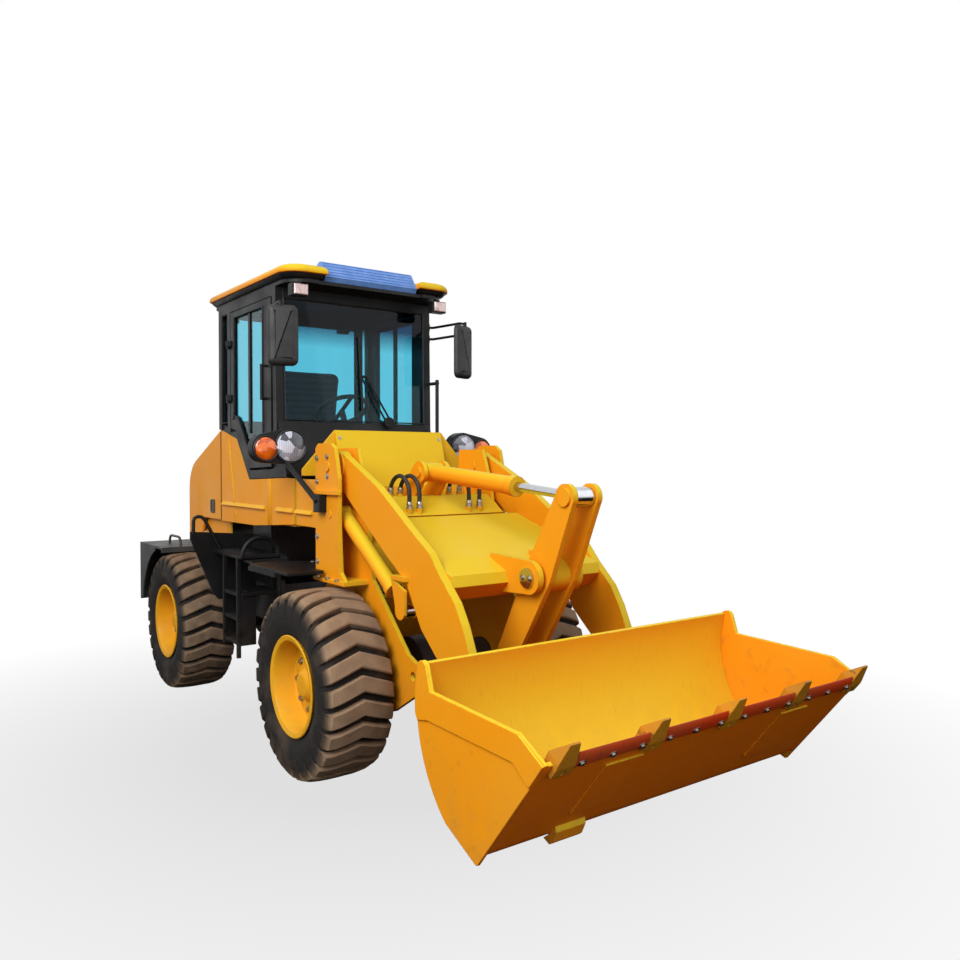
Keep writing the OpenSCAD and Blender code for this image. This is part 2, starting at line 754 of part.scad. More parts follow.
// two-plate bell crank
module bell_crank() {
  put() color(yellow) difference() {
    union() {
      both() {
        plate([[p_top[0]-62, p_top[1]+20], [p_top[0]+62, p_top[1]-20], [p_crank[0]+105, p_crank[1]-20],
          [p_low[0]+68, p_low[1]-22], [p_low[0]-66, p_low[1]+26], [p_crank[0]-95, p_crank[1]+10]],
          crank_y-crank_t/2, crank_y+crank_t/2);
        ycyl(p_top, crank_y-crank_t/2, crank_y+crank_t/2, 66);
        ycyl(p_low, crank_y-crank_t/2, crank_y+crank_t/2, 70);
        ycyl(p_top, crank_y+crank_t/2, crank_y+crank_t/2+12, 46);
      }
      ycyl(p_crank, -90, 90, 84);
    }
    ycyl(p_crank, -200, 200, pin_r+pin_clear);
    ycyl(p_low, -200, 200, pin_r-2+pin_clear);
  }
}

// pin at the foot of the bell crank
module link_pin() {
  put() color(steel) ycyl(p_low, -106, 106, pin_r-2);
}

// link from the bell crank to the bucket
module tilt_link() {
  put() color(yellow) difference() {
    union() {
      plate([[p_low[0]-8, p_low[1]+58], [p_low[0]-12, p_low[1]-58], [hinge_d[0]-8, hinge_d[1]-40],
        [hinge_d[0]+8, hinge_d[1]+40]], -link_hw+10, link_hw-10);
      ycyl(p_low, -link_hw, link_hw, 62);
      ycyl(hinge_d, -link_hw, link_hw, 44);
    }
    ycyl(p_low, -200, 200, pin_r-2+pin_clear);
  }
}

// tilt cylinder tube
module tilt_barrel() {
  put() color(yellow) difference() {
    union() {
      along(p_base, tilt_ang) rotate([0, 90, 0]) translate([0, 0, 40]) cylinder(h=790, r=50);
      along(p_base, tilt_ang) rotate([0, 90, 0]) translate([0, 0, 790]) cylinder(h=52, r=56);
      ycyl(p_base, -60, 60, 58);
    }
    along(p_base, tilt_ang) rotate([0, 90, 0]) translate([0, 0, 240]) cylinder(h=700, r=24+pin_clear);
    ycyl(p_base, -200, 200, pin_r-2+pin_clear);
  }
}

// tilt cylinder rod with its eye
module tilt_rod() {
  put() color(steel) {
    along(p_base, tilt_ang) rotate([0, 90, 0]) translate([0, 0, 560]) cylinder(h=tilt_len-560-20, r=24);
    ycyl(p_top, -58, 58, 50);
  }
}

// lift cylinder tubes
module lift_barrels() {
  put() color(yellow) both() translate([0, arm_y, 0]) difference() {
    union() {
      along(p_lift, lift_ang) rotate([0, 90, 0]) translate([0, 0, 30]) cylinder(h=lift_len-190, r=44);
      along(p_lift, lift_ang) rotate([0, 90, 0]) translate([0, 0, lift_len-195]) cylinder(h=40, r=50);
      ycyl(p_lift, -30, 30, 48);
    }
    along(p_lift, lift_ang) rotate([0, 90, 0]) translate([0, 0, 150]) cylinder(h=lift_len, r=23+pin_clear);
    ycyl(p_lift, -100, 100, 26+pin_clear);
  }
}

// lift cylinder rods with their eyes
module lift_rods() {
  put() color(steel) both() translate([0, arm_y, 0]) {
    along(p_lift, lift_ang) rotate([0, 90, 0]) translate([0, 0, 175]) cylinder(h=lift_len-175-20, r=23);
    ycyl(p_eye, -24, 24, 42);
  }
}

// steering cylinder tube on the left side
module steer_barrel() {
  color(black) difference() {
    union() {
      translate([steer_base[0], steer_base[1], steer_z]) rotate([0, 0, steer_ang]) {
        rotate([0, 90, 0]) cylinder(h=steer_len-240, r=38);
        translate([0, 0, -38]) cylinder(h=76, r=40);
      }
    }
    translate([steer_base[0], steer_base[1], steer_z]) rotate([0, 0, steer_ang]) rotate([0, 90, 0])
      translate([0, 0, 60]) cylinder(h=steer_len, r=20+pin_clear);
    translate([steer_base[0], steer_base[1], 0]) cylinder(h=1000, r=20+pin_clear);
  }
}

// steering cylinder rod on the left side
module steer_rod() {
  color(steel) difference() {
    union() {
      translate([steer_base[0], steer_base[1], steer_z]) rotate([0, 0, steer_ang]) {
        translate([290, 0, 0]) rotate([0, 90, 0]) cylinder(h=steer_len-310, r=20);
        translate([steer_len, 0, -36]) cylinder(h=72, r=62);
      }
    }
    translate([steer_eye[0], steer_eye[1], 0]) cylinder(h=1000, r=54);
  }
}

// left steering tube
module steer_barrel_left() {
  put() steer_barrel();
}

// right steering tube
module steer_barrel_right() {
  put() mirror([0, 1, 0]) steer_barrel();
}

// left steering rod
module steer_rod_left() {
  put() steer_rod();
}

// right steering rod
module steer_rod_right() {
  put() mirror([0, 1, 0]) steer_rod();
}

// rolled sheet, side plates and hinge ears
module bucket() {
  hw = bucket_w/2;
  back = back_arc(0, 180, back_end);
  fin = arc_pts([298, 708], 36, 82, -20, 5);
  put() color(yellow) in_bucket() {
    plate(concat([[floor_l-10, sheet_t], [floor_l-10, 0]], heel_arc(0, 270, 180), back_arc(0, 180,
      back_end),
      back_arc(sheet_t, back_end, 180), heel_arc(sheet_t, 180, 270)), -hw+side_t, hw-side_t);
    both() plate(concat([[floor_l-2, 0], [0, 0]], back, fin, [[275, 610], [607, 158]]), hw-side_t, hw-9);
    both() plate(concat([[floor_l-8, 0], [508, 0], [504, 111], [168, 550], [108, 600]],
      [for (p = back) if (p[1] > 620) p], fin,
      [[275, 610], [607, 158]]), hw-10, hw);
    both() span([215, 437, -9], [floor_l-110, 637, 1]);
    plate([[40, -24], [62, -30], [112, -18], [130, 2], [60, 6], [30, 14]], -660, -500);
    both() for (y = [ear_in, ear_out]) difference() {
      union() {
        plate([[-20, 60], [a_bucket[0]+20, a_bucket[1]-66], [a_bucket[0]-20, a_bucket[1]+66],
          [-40, 400], [10, 455],
          [-20, 400], [-44, 310], [-48, 210], [-40, 120]], y, y+ear_t);
        ycyl(a_bucket, y, y+ear_t, 70);
      }
      ycyl(a_bucket, y-1, y+ear_t+1, pin_r+pin_clear);
    }
    both() {
      plate([[-50, 310], [d_bucket[0]-46, d_bucket[1]-30], [d_bucket[0]-14, d_bucket[1]+54], [52, 545],
        [-5, 440], [-36, 340]],
        link_hw+ear_gap, link_hw+ear_gap+26);
      ycyl(d_bucket, link_hw+ear_gap, link_hw+ear_gap+26, 56);
      ycyl(d_bucket, link_hw+ear_gap+26, link_hw+ear_gap+38, 40);
    }
  }
}

// round stretches of the bucket's sheet, drawn in from its outer face
function heel_arc(inset, a0, a1) = arc_pts([heel_r-heel_back, heel_r], heel_r-inset, a0, a1, 8);
function back_arc(inset, a0, a1) = arc_pts(back_c, back_r-inset, a0, a1, 14);

// five teeth along the edge
module bucket_teeth() {
  pitch = (bucket_w-180)/(tooth_n-1);
  put() color(yellow) in_bucket() for (i = [0:tooth_n-1]) {
    translate([0, (i-(tooth_n-1)/2)*pitch, 0]) {
      difference() {
        plate([[floor_l-70, sheet_t+seat_gap], [floor_l-70, 34], [floor_l+10, 46], [floor_l+tooth_reach, 6],
          [floor_l+tooth_reach, -2], [floor_l-10, -22], [floor_l-60, -22], [floor_l-60, -seat_gap],
          [floor_l-10+seat_gap, -seat_gap], [floor_l-10+seat_gap, sheet_t+seat_gap]], -44, 44);
        translate([floor_l-38, 0, -50]) cylinder(h=120, r=11);
        both() translate([floor_l+10, 44, -60]) rotate([0, 0, -14]) cube([200, 60, 140]);
      }
    }
  }
}

// bolt-on edge segments between the teeth
module cutting_edge() {
  pitch = (bucket_w-180)/(tooth_n-1);
  put() color([0.82, 0.23, 0.05]) in_bucket() for (i = [0:tooth_n-2]) {
    translate([0, (i-(tooth_n-2)/2)*pitch, 0]) {
      plate([[floor_l-100, -seat_gap], [floor_l+40, -seat_gap], [floor_l+10, -20],
        [floor_l-100, -20]], -pitch/2+45, pitch/2-45);
    }
  }
}

module tyre_front_left() {
  put() station(0, 1) tyre(-1);
}

module tyre_front_right() {
  put() station(0, -1) tyre(1);
}

module tyre_rear_left() {
  put() station(rear_x, 1) tyre(-1);
}

module tyre_rear_right() {
  put() station(rear_x, -1) tyre(1);
}

module rim_front_left() {
  put() station(0, 1) rim();
}

module rim_front_right() {
  put() station(0, -1) rim();
}

module rim_rear_left() {
  put() station(rear_x, 1) rim();
}

module rim_rear_right() {
  put() station(rear_x, -1) rim();
}

rear_frame();
rear_axle();
engine();
counterweight();
body_panels();
rear_fenders();
step_units();
cab_frame();
cab_roof();
roof_visor();
cab_glass();
seat_base();
seat_pads();
console();
wiper();
mirrors();
work_lamps();
drive_shaft();
hood();
grille();
door_left();
door_right();
door_glass_left();
door_glass_right();
front_frame();
tower_plates();
front_axle();
front_cover();
front_fenders();
headlamps();
hoses();
lift_arms();
bucket_pins();
crank_pin();
bell_crank();
link_pin();
tilt_link();
tilt_barrel();
tilt_rod();
lift_barrels();
lift_rods();
steer_barrel_left();
steer_barrel_right();
steer_rod_left();
steer_rod_right();
bucket();
bucket_teeth();
cutting_edge();
tyre_front_left();
tyre_front_right();
tyre_rear_left();
tyre_rear_right();
rim_front_left();
rim_front_right();
rim_rear_left();
rim_rear_right();
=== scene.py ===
"""Compact wheel loader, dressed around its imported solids."""
import json
import logging
import math
from dataclasses import dataclass, field
from enum import Enum
from typing import Any, Iterable, Optional, Sequence, Union

import bmesh
import bpy
from mathutils import Matrix, Vector


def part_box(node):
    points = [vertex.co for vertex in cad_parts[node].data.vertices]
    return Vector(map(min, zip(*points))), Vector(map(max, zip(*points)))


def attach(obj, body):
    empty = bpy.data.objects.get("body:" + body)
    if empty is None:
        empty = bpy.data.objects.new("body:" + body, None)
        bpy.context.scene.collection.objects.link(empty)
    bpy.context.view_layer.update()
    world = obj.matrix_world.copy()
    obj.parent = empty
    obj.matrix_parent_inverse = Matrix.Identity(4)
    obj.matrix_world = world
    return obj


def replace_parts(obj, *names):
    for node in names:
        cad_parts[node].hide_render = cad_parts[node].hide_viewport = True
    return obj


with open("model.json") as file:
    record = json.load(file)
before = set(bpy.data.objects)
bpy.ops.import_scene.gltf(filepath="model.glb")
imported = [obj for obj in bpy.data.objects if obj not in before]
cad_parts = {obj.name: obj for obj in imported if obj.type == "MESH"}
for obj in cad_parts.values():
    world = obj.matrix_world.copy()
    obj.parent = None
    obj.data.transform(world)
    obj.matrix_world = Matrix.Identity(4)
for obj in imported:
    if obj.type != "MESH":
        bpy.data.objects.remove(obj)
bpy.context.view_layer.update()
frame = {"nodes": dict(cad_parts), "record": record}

LOG = logging.getLogger("wheel_loader")

Point = Sequence[float]
Outline = list[tuple[float, float]]
Spot = tuple[Point, Point]
Tree = bpy.types.NodeTree
Mesh = bpy.types.Mesh
Piece = bpy.types.Object
Material = bpy.types.Material

WHITE = (1.0, 1.0, 1.0, 1.0)
# a wave texture repeats once in this many units of its scale
WAVE_LENGTH = 6.283
# the way to the light: faces turned towards it get painted light, a paler colour
PAINTED_LIGHT_WAY = (0.62, 0.0, 0.78)

# the front axle is the origin of every size below; the tyre's box says where it stands in the frame
_LOW, _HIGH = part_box("tyre_front_left")
AXLE_X = (_LOW[0] + _HIGH[0]) / 2
AXLE_Z = (_LOW[2] + _HIGH[2]) / 2
WHEEL_Y = (_LOW[1] + _HIGH[1]) / 2


class Side(Enum):
    """Sides of the machine, with the sign of Y."""
    LEFT = 1
    RIGHT = -1


class End(Enum):
    """Ends of the machine that carry an axle, with the axle's X from the front one."""
    FRONT = 0.0
    REAR = -2.415


class Plane(Enum):
    """Plane that an outline is drawn in."""
    SIDE = "xz"
    FRONT = "yz"
    PLAN = "xy"

    def place(self, a: float, b: float, c: float) -> Vector:
        """Turn outline values and a depth into a point."""
        spots = {Plane.SIDE: (a, c, b), Plane.FRONT: (c, a, b), Plane.PLAN: (a, b, c)}
        return Vector(spots[self])


def linear(code: str) -> tuple[float, float, float, float]:
    """Turn an sRGB hex value into linear RGBA.

    Args:
        code: colour such as "#F2A81D".
    Returns:
        Linear red, green, blue and an alpha of 1.
    """
    parts = [int(code[i:i + 2], 16) / 255 for i in (1, 3, 5)]
    red, green, blue = (c / 12.92 if c <= 0.04045 else ((c + 0.055) / 1.055) ** 2.4 for c in parts)
    return red, green, blue, 1.0


def per_mm(size: float) -> float:
    """Give the texture scale whose features are this many millimetres across."""
    return 1000.0 / size


def add_node(tree: Tree, kind: str, links: Optional[dict] = None, values: Optional[dict] = None,
             **settings: Any) -> bpy.types.Node:
    """Add a node with its settings, socket values and links.

    Args:
        tree: node tree that gets the node.
        kind: Blender's type name of the node.
        links: input socket name or index to the output socket that feeds it.
        values: input socket name or index to its constant.
        settings: properties of the node itself.
    Returns:
        The new node.
    """
    node = tree.nodes.new(kind)
    for key, value in settings.items():
        setattr(node, key, value)
    for key, value in (values or {}).items():
        node.inputs[key].default_value = value
    for key, source in (links or {}).items():
        tree.links.new(source, node.inputs[key])
    return node


def blank_material(name: str) -> tuple[Material, Tree, Any]:
    """Start a node material.

    Args:
        name: name of the material.
    Returns:
        The material, its tree and the socket of Object coordinates.
    """
    material = bpy.data.materials.new(name)
    material.use_nodes = True
    tree = material.node_tree
    tree.nodes.clear()
    coords = add_node(tree, "ShaderNodeTexCoord")
    return material, tree, coords.outputs["Object"]


def close_material(tree: Tree, links: dict, values: dict) -> None:
    """Add the principled shader and the output to a tree."""
    shader = add_node(tree, "ShaderNodeBsdfPrincipled", links, values)
    add_node(tree, "ShaderNodeOutputMaterial", {"Surface": shader.outputs[0]})


def remap(tree: Tree, value: Any, low: float = 0.0, high: float = 1.0, to_low: float = 0.0,
          to_high: float = 1.0) -> Any:
    """Map one range of a socket onto another and hold the result within it.

    Args:
        tree: tree of the material.
        value: socket that is mapped.
        low: value that gives to_low.
        high: value that gives to_high.
        to_low: result at low.
        to_high: result at high.
    Returns:
        Socket of the result.
    """
    return add_node(tree, "ShaderNodeMapRange", {"Value": value},
                    {"From Min": low, "From Max": high, "To Min": to_low, "To Max": to_high}).outputs[0]


def noise(tree: Tree, coords: Any, size: float, detail: float) -> Any:
    """Give cloudy noise whose features have a size in millimetres."""
    return add_node(tree, "ShaderNodeTexNoise", {"Vector": coords},
                    {"Scale": per_mm(size), "Detail": detail}).outputs[0]


def blotches(tree: Tree, coords: Any, size: float, low: float, high: float, detail: float = 3.0) -> Any:
    """Give a patchy 0 to 1 factor.

    Args:
        tree: tree of the material.
        coords: socket of the coordinates.
        size: size of a patch in millimetres.
        low: noise value that gives 0.
        high: noise value that gives 1.
        detail: octaves of finer noise.
    Returns:
        Socket of the factor.
    """
    return remap(tree, noise(tree, coords, size, detail), low, high)


def ribs(tree: Tree, coords: Any, pitch: float, way: str = "Y") -> Any:
    """Give the factor of parallel ribs that stand a pitch in millimetres apart."""
    return add_node(tree, "ShaderNodeTexWave", {"Vector": coords}, {"Scale": per_mm(pitch) / WAVE_LENGTH},
                    bands_direction=way).outputs["Fac"]


def relief(tree: Tree, height: Any, strength: float, depth: float, normal: Any = None) -> Any:
    """Raise the surface by a height socket.

    Args:
        tree: tree of the material.
        height: socket of the height.
        strength: share of the relief that shows.
        depth: depth of the relief in metres.
        normal: socket of the normal that the relief stands on, if it isn't the surface's own.
    Returns:
        Socket of the normal.
    """
    links = {"Height": height} if normal is None else {"Height": height, "Normal": normal}
    return add_node(tree, "ShaderNodeBump", links, {"Strength": strength, "Distance": depth}).outputs[0]


def part_of(tree: Tree, vector: Any, axis: int) -> Any:
    """Give one component of a vector socket."""
    return add_node(tree, "ShaderNodeSeparateXYZ", {0: vector}).outputs[axis]


def tint(tree: Tree, factor: Any, first: Any, second: Any) -> Any:
    """Mix two colours, each a socket or a hex value, by a factor socket.

    Args:
        tree: tree of the material.
        factor: socket of the mix factor.
        first: colour at 0.
        second: colour at 1.
    Returns:
        Socket of the mixed colour.
    """
    links, values = {0: factor}, {}
    for index, colour in ((6, first), (7, second)):
        if isinstance(colour, str):
            values[index] = linear(colour)
        else:
            links[index] = colour
    return add_node(tree, "ShaderNodeMix", links, values, data_type="RGBA").outputs[2]


def times(tree: Tree, first: Any, second: Any) -> Any:
    """Multiply a socket by a socket or a number."""
    if isinstance(second, (int, float)):
        return add_node(tree, "ShaderNodeMath", {0: first}, {1: second}, operation="MULTIPLY").outputs[0]
    return add_node(tree, "ShaderNodeMath", {0: first, 1: second}, operation="MULTIPLY").outputs[0]


def cosine(tree: Tree, normal: Any, links: dict, values: dict) -> Any:
    """Give how far a normal faces another vector, as the cosine between them."""
    return add_node(tree, "ShaderNodeVectorMath", {0: normal, **links}, values,
                    operation="DOT_PRODUCT").outputs["Value"]


@dataclass(frozen=True)
class Enamel:
    """Sprayed two-pack enamel on pressed and welded steel plate.

    It gives an even, half-gloss colour with a fine orange-peel ripple, faded patches, painted light (a paler
    colour) on the faces turned to the light, painted shade (a deeper colour) on those turned down, grime low
    down and paint rubbed through to primer on the plate edges.
    """
    name: str
    paint: str
    faded: str
    # painted light: a paler colour on the faces turned to the light
    painted_light_tone: str = ""
    # painted shade: a deeper colour on the faces turned down
    deep: str = ""
    chip: str = "#6E5236"
    grime: str = "#8A7458"
    grime_foot: float = 0.05
    grime_top: float = 0.75
    grime_share: float = 0.35
    edge: float = 0.006
    wear: float = 0.6
    roughness: float = 0.36
    scuff: float = 0.0
    sheen: float = 0.22

    def material(self) -> Material:
        """Build the node material."""
        made, tree, coords = blank_material(self.name)
        colour = tint(tree, blotches(tree, coords, 420, 0.38, 0.66), self.paint, self.faded)
        outward = add_node(tree, "ShaderNodeTexCoord").outputs["Normal"]
        # painted shade: blend to a deeper colour on the faces turned down
        if self.deep:
            under = remap(tree, part_of(tree, outward, 2), -0.1, -0.7)
            colour = tint(tree, under, colour, self.deep)
        # painted light: blend to a paler colour on the faces turned to the light
        if self.painted_light_tone:
            painted_light_share = remap(tree, cosine(tree, outward, {}, {1: PAINTED_LIGHT_WAY}), 0.15, 0.85)
            colour = tint(tree, painted_light_share, colour, self.painted_light_tone)
        low = remap(tree, part_of(tree, coords, 2), self.grime_top, self.grime_foot, to_high=self.grime_share)
        dirt = times(tree, low, blotches(tree, coords, 90, 0.36, 0.62, 5.0))
        colour = tint(tree, dirt, colour, self.grime)
        if self.scuff:
            stretched = add_node(tree, "ShaderNodeMapping", {"Vector": coords},
                                 {"Rotation": (0.3, 0.5, 0.2), "Scale": (1.0, 9.0, 1.0)})
            marks = times(tree, blotches(tree, stretched.outputs[0], 60, 0.60, 0.68, 6.0), self.scuff)
            colour = tint(tree, marks, colour, self.chip)
        rounded_off = add_node(tree, "ShaderNodeBevel", None, {"Radius": self.edge}, samples=4).outputs[0]
        flat = add_node(tree, "ShaderNodeNewGeometry").outputs["Normal"]
        rim = remap(tree, cosine(tree, rounded_off, {1: flat}, {}), 0.985, 0.86, to_high=self.wear)
        worn = times(tree, rim, blotches(tree, coords, 34, 0.50, 0.60, 6.0))
        colour = tint(tree, worn, colour, self.chip)
        gloss = remap(tree, blotches(tree, coords, 160, 0.3, 0.7), to_low=self.roughness - 0.06,
                      to_high=self.roughness + 0.12)
        peel = relief(tree, noise(tree, coords, 5, 2.0), 0.05, 0.002, rounded_off)
        close_material(tree, {"Base Color": colour, "Roughness": gloss, "Normal": peel},
                       {"IOR": 1.5, "Specular IOR Level": self.sheen})
        return made


@dataclass(frozen=True)
class TyreRubber:
    """Moulded tyre rubber: dull black sidewalls, tread dried to a brown dust on the lugs."""
    name: str
    side: str = "#1D1917"
    tread: str = "#8A715A"
    dust: str = "#A08468"
    haze: float = 0.18

    def material(self) -> Material:
        """Build the node material; the mesh carries how much of it is tread."""
        made, tree, coords = blank_material(self.name)
        share = add_node(tree, "ShaderNodeAttribute", attribute_name="tread").outputs["Fac"]
        colour = tint(tree, share, self.side, self.tread)
        caked = times(tree, share, blotches(tree, coords, 80, 0.35, 0.75, 4.0))
        colour = tint(tree, caked, colour, self.dust)
        haze = times(tree, blotches(tree, coords, 160, 0.5, 0.8, 4.0), self.haze)
        colour = tint(tree, haze, colour, self.dust)
        grain = relief(tree, noise(tree, coords, 7, 4.0), 0.25, 0.003)
        close_material(tree, {"Base Color": colour, "Normal": grain},
                       {"Roughness": 0.82, "IOR": 1.52, "Specular IOR Level": 0.3})
        return made


@dataclass(frozen=True)
class Moulded:
    """Moulded plastic or extruded rubber: one body colour, a fine grain and a rubbed sheen."""
    name: str
    colour: str
    pale: str
    grain: float = 3.0
    roughness: float = 0.5
    depth: float = 0.12

    def material(self) -> Material:
        """Build the node material."""
        made, tree, coords = blank_material(self.name)
        colour = tint(tree, blotches(tree, coords, 70, 0.4, 0.75, 4.0), self.colour, self.pale)
        cells = add_node(tree, "ShaderNodeTexVoronoi", {"Vector": coords}, {"Scale": per_mm(self.grain)})
        grain = relief(tree, cells.outputs[0], self.depth, 0.001)
        rough = remap(tree, blotches(tree, coords, 130, 0.3, 0.7), to_low=self.roughness - 0.08,
                      to_high=self.roughness + 0.1)
        close_material(tree, {"Base Color": colour, "Roughness": rough, "Normal": grain}, {"IOR": 1.49})
        return made


@dataclass(frozen=True)
class BareMetal:
    """Machined or plated steel.

    It is mirror-like where it is plated, with drawn lines and brown stain where it is bare.
    """
    name: str
    colour: str
    stain: str
    roughness: float = 0.25
    stained: float = 0.3

    def material(self) -> Material:
        """Build the node material."""
        made, tree, coords = blank_material(self.name)
        spots = times(tree, blotches(tree, coords, 40, 0.48, 0.66, 6.0), self.stained)
        colour = tint(tree, spots, self.colour, self.stain)
        drawn = add_node(tree, "ShaderNodeMapping", {"Vector": coords}, {"Scale": (1.0, 14.0, 1.0)})
        lines = noise(tree, drawn.outputs[0], 9, 3.0)
        rough = remap(tree, lines, 0.3, 0.7, self.roughness - 0.05, self.roughness + 0.12)
        close_material(tree,
                       {"Base Color": colour, "Roughness": rough, "Normal": relief(tree, lines, 0.04, 0.001)},
                       {"Metallic": 1.0})
        return made


@dataclass(frozen=True)
class Clear:
    """Tinted glass: it passes light, keeps a tint and carries a faint film of dust.

    The windscreen may carry a band of painted shade that darkens it towards the roof.
    """
    name: str
    colour: str
    film: float = 0.06
    # colour of the band of painted shade
    band: str = ""
    painted_shade_low: float = 2.58
    painted_shade_high: float = 2.74
    painted_shade_back: float = -1.2

    def material(self) -> Material:
        """Build the node material."""
        made, tree, coords = blank_material(self.name)
        links = {"Roughness": remap(tree, blotches(tree, coords, 180, 0.4, 0.75, 5.0), to_high=self.film)}
        # painted shade: a darker band towards the roof on the panes ahead of a given X
        if self.band:
            painted_shading = remap(tree, part_of(tree, coords, 2), self.painted_shade_low, self.painted_shade_high)
            ahead = add_node(tree, "ShaderNodeMath", {0: part_of(tree, coords, 0)},
                             {1: AXLE_X + self.painted_shade_back}, operation="GREATER_THAN")
            links["Base Color"] = tint(tree, times(tree, painted_shading, ahead.outputs[0]), self.colour, self.band)
        close_material(tree, links,
                       {"Base Color": linear(self.colour), "IOR": 1.25, "Transmission Weight": 1.0})
        return made


@dataclass(frozen=True)
class LampLens:
    """Pressed lamp lens with a painted reflection of a stepped reflector.

    Facets of random brightness, from bright to dark, are painted reflection, and fine moulded ribs carry
    painted shade as well as a relief.
    """
    name: str
    colour: str
    # dark tone of the painted reflection and of the painted shade on the ribs
    deep: str
    rib: float = 7.0
    facet: float = 46.0

    def material(self) -> Material:
        """Build the node material."""
        made, tree, coords = blank_material(self.name)
        # painted reflection: cells of random brightness from the lens colour to its dark tone
        cells = add_node(tree, "ShaderNodeTexVoronoi", {"Vector": coords}, {"Scale": per_mm(self.facet)})
        painted_shading = remap(tree, part_of(tree, cells.outputs["Color"], 0), 0.25, 0.95)
        lines = ribs(tree, coords, self.rib)
        colour = tint(tree, painted_shading, self.colour, self.deep)
        # painted shade along the ribs
        colour = tint(tree, times(tree, lines, 0.22), colour, self.deep)
        close_material(tree, {"Base Color": colour, "Normal": relief(tree, lines, 0.15, 0.002)},
                       {"Roughness": 0.08, "IOR": 1.49, "Coat Weight": 0.8, "Coat Roughness": 0.03})
        return made


@dataclass(frozen=True)
class SeatCloth:
    """Woven seat cloth: crossing threads, flecks of lighter yarn, no shine.

    The threads are drawn 4 mm apart, coarser than life, so that they show.
    """
    name: str
    warp: str
    weft: str
    thread: float = 4.0

    def material(self) -> Material:
        """Build the node material."""
        made, tree, coords = blank_material(self.name)
        cross = times(tree, ribs(tree, coords, self.thread, "Y"), ribs(tree, coords, self.thread, "X"))
        colour = tint(tree, cross, self.warp, self.weft)
        close_material(tree, {"Base Color": colour, "Normal": relief(tree, cross, 0.4, 0.002)},
                       {"Roughness": 0.95, "Sheen Weight": 0.3, "Specular IOR Level": 0.2})
        return made


@dataclass(frozen=True)
class Finishes:
    """The finishes of the machine, one material for each."""
    # in the loader and bucket enamels the fourth colour is painted light on faces turned to the light, the
    # fifth painted shade on faces turned down
    loader: Enamel = Enamel("loader_enamel", "#EC9414", "#EA991B", "#E3C22A", "#DE6E0E", sheen=0.08)
    bucket: Enamel = Enamel("bucket_enamel", "#EE9616", "#EA9B20", "#EFCB30", "#EE720F", wear=0.85,
                            scuff=0.12, grime_share=0.2, sheen=0.08)
    rim: Enamel = Enamel("rim_enamel", "#EDA61E", "#E9AE27", grime_share=0.2, sheen=0.12)
    tooth: Enamel = Enamel("tooth_enamel", "#D08A1E", "#B97A22", chip="#5A4632", wear=1.0, scuff=0.6)
    black: Enamel = Enamel("black_enamel", "#141415", "#232324", chip="#4A4642", roughness=0.42, wear=0.4)
    grey: Enamel = Enamel("chassis_enamel", "#3A3A3C", "#4A4948", chip="#6A5F54", roughness=0.48, wear=0.4)
    red: Enamel = Enamel("edge_primer", "#CE3D12", "#B84A24", chip="#4E3A30", wear=0.9, scuff=0.5)
    tyre: TyreRubber = TyreRubber("tyre_rubber")
    hose: Moulded = Moulded("hose_rubber", "#151515", "#2A2826", 2.5, 0.6, 0.2)
    gasket: Moulded = Moulded("window_rubber", "#101011", "#1F1F20", 4.0, 0.55, 0.1)
    plastic: Moulded = Moulded("moulded_plastic", "#1A1A1C", "#28282A", 3.0, 0.5, 0.15)
    visor: Moulded = Moulded("blue_plastic", "#5D88CE", "#7399DA", 6.0, 0.3, 0.05)
    glass: Clear = Clear("tinted_glass", "#9ADFEC", film=0.02)
    # cab glass with a band of painted shade towards the roof
    painted_shade_panes: Clear = Clear("painted_shade_glass", "#93DBEA", film=0.02, band="#20486B")
    chrome: BareMetal = BareMetal("chromed_steel", "#C9CCD0", "#8B8680", 0.14, 0.15)
    zinc: BareMetal = BareMetal("zinc_plated_steel", "#A8A59C", "#7A6A4E", 0.34, 0.35)
    mirror: BareMetal = BareMetal("mirror_silver", "#DDE2E6", "#C6CCD0", 0.05, 0.05)
    # each lens runs to its dark tone in painted reflector facets and painted shade on the ribs
    clear: LampLens = LampLens("clear_lens", "#D6DAEA", "#3A3D48")
    amber: LampLens = LampLens("amber_lens", "#FF7A18", "#9A2206")
    rose: LampLens = LampLens("work_lamp_lens", "#EBD3D2", "#C4A6A6", 14.0)
    ruby: LampLens = LampLens("red_lens", "#C0201A", "#7A0E0A")
    cloth: SeatCloth = SeatCloth("seat_cloth", "#23252B", "#3C404A")
    made: dict = field(default_factory=dict)

    def of(self, name: str) -> Material:
        """Give the material of a finish by its field name, made once."""
        if name not in self.made:
            self.made[name] = getattr(self, name).material()
        return self.made[name]

    def dress_nodes(self) -> None:
        """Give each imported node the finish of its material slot."""
        by_slot = {slot: finish for finish, slot in reversed(SLOTS.items())}
        by_node = {"cab_glass": "painted_shade_panes", "bucket_pins": "zinc"}
        for part in frame["record"]["subparts"]:
            piece = frame["nodes"][part["node"]]
            finish = self.of(by_node.get(part["node"], by_slot[part["material_slot"]]))
            for slot in piece.material_slots:
                slot.material = finish
            if not piece.material_slots:
                piece.data.materials.append(finish)


FINISH = Finishes()
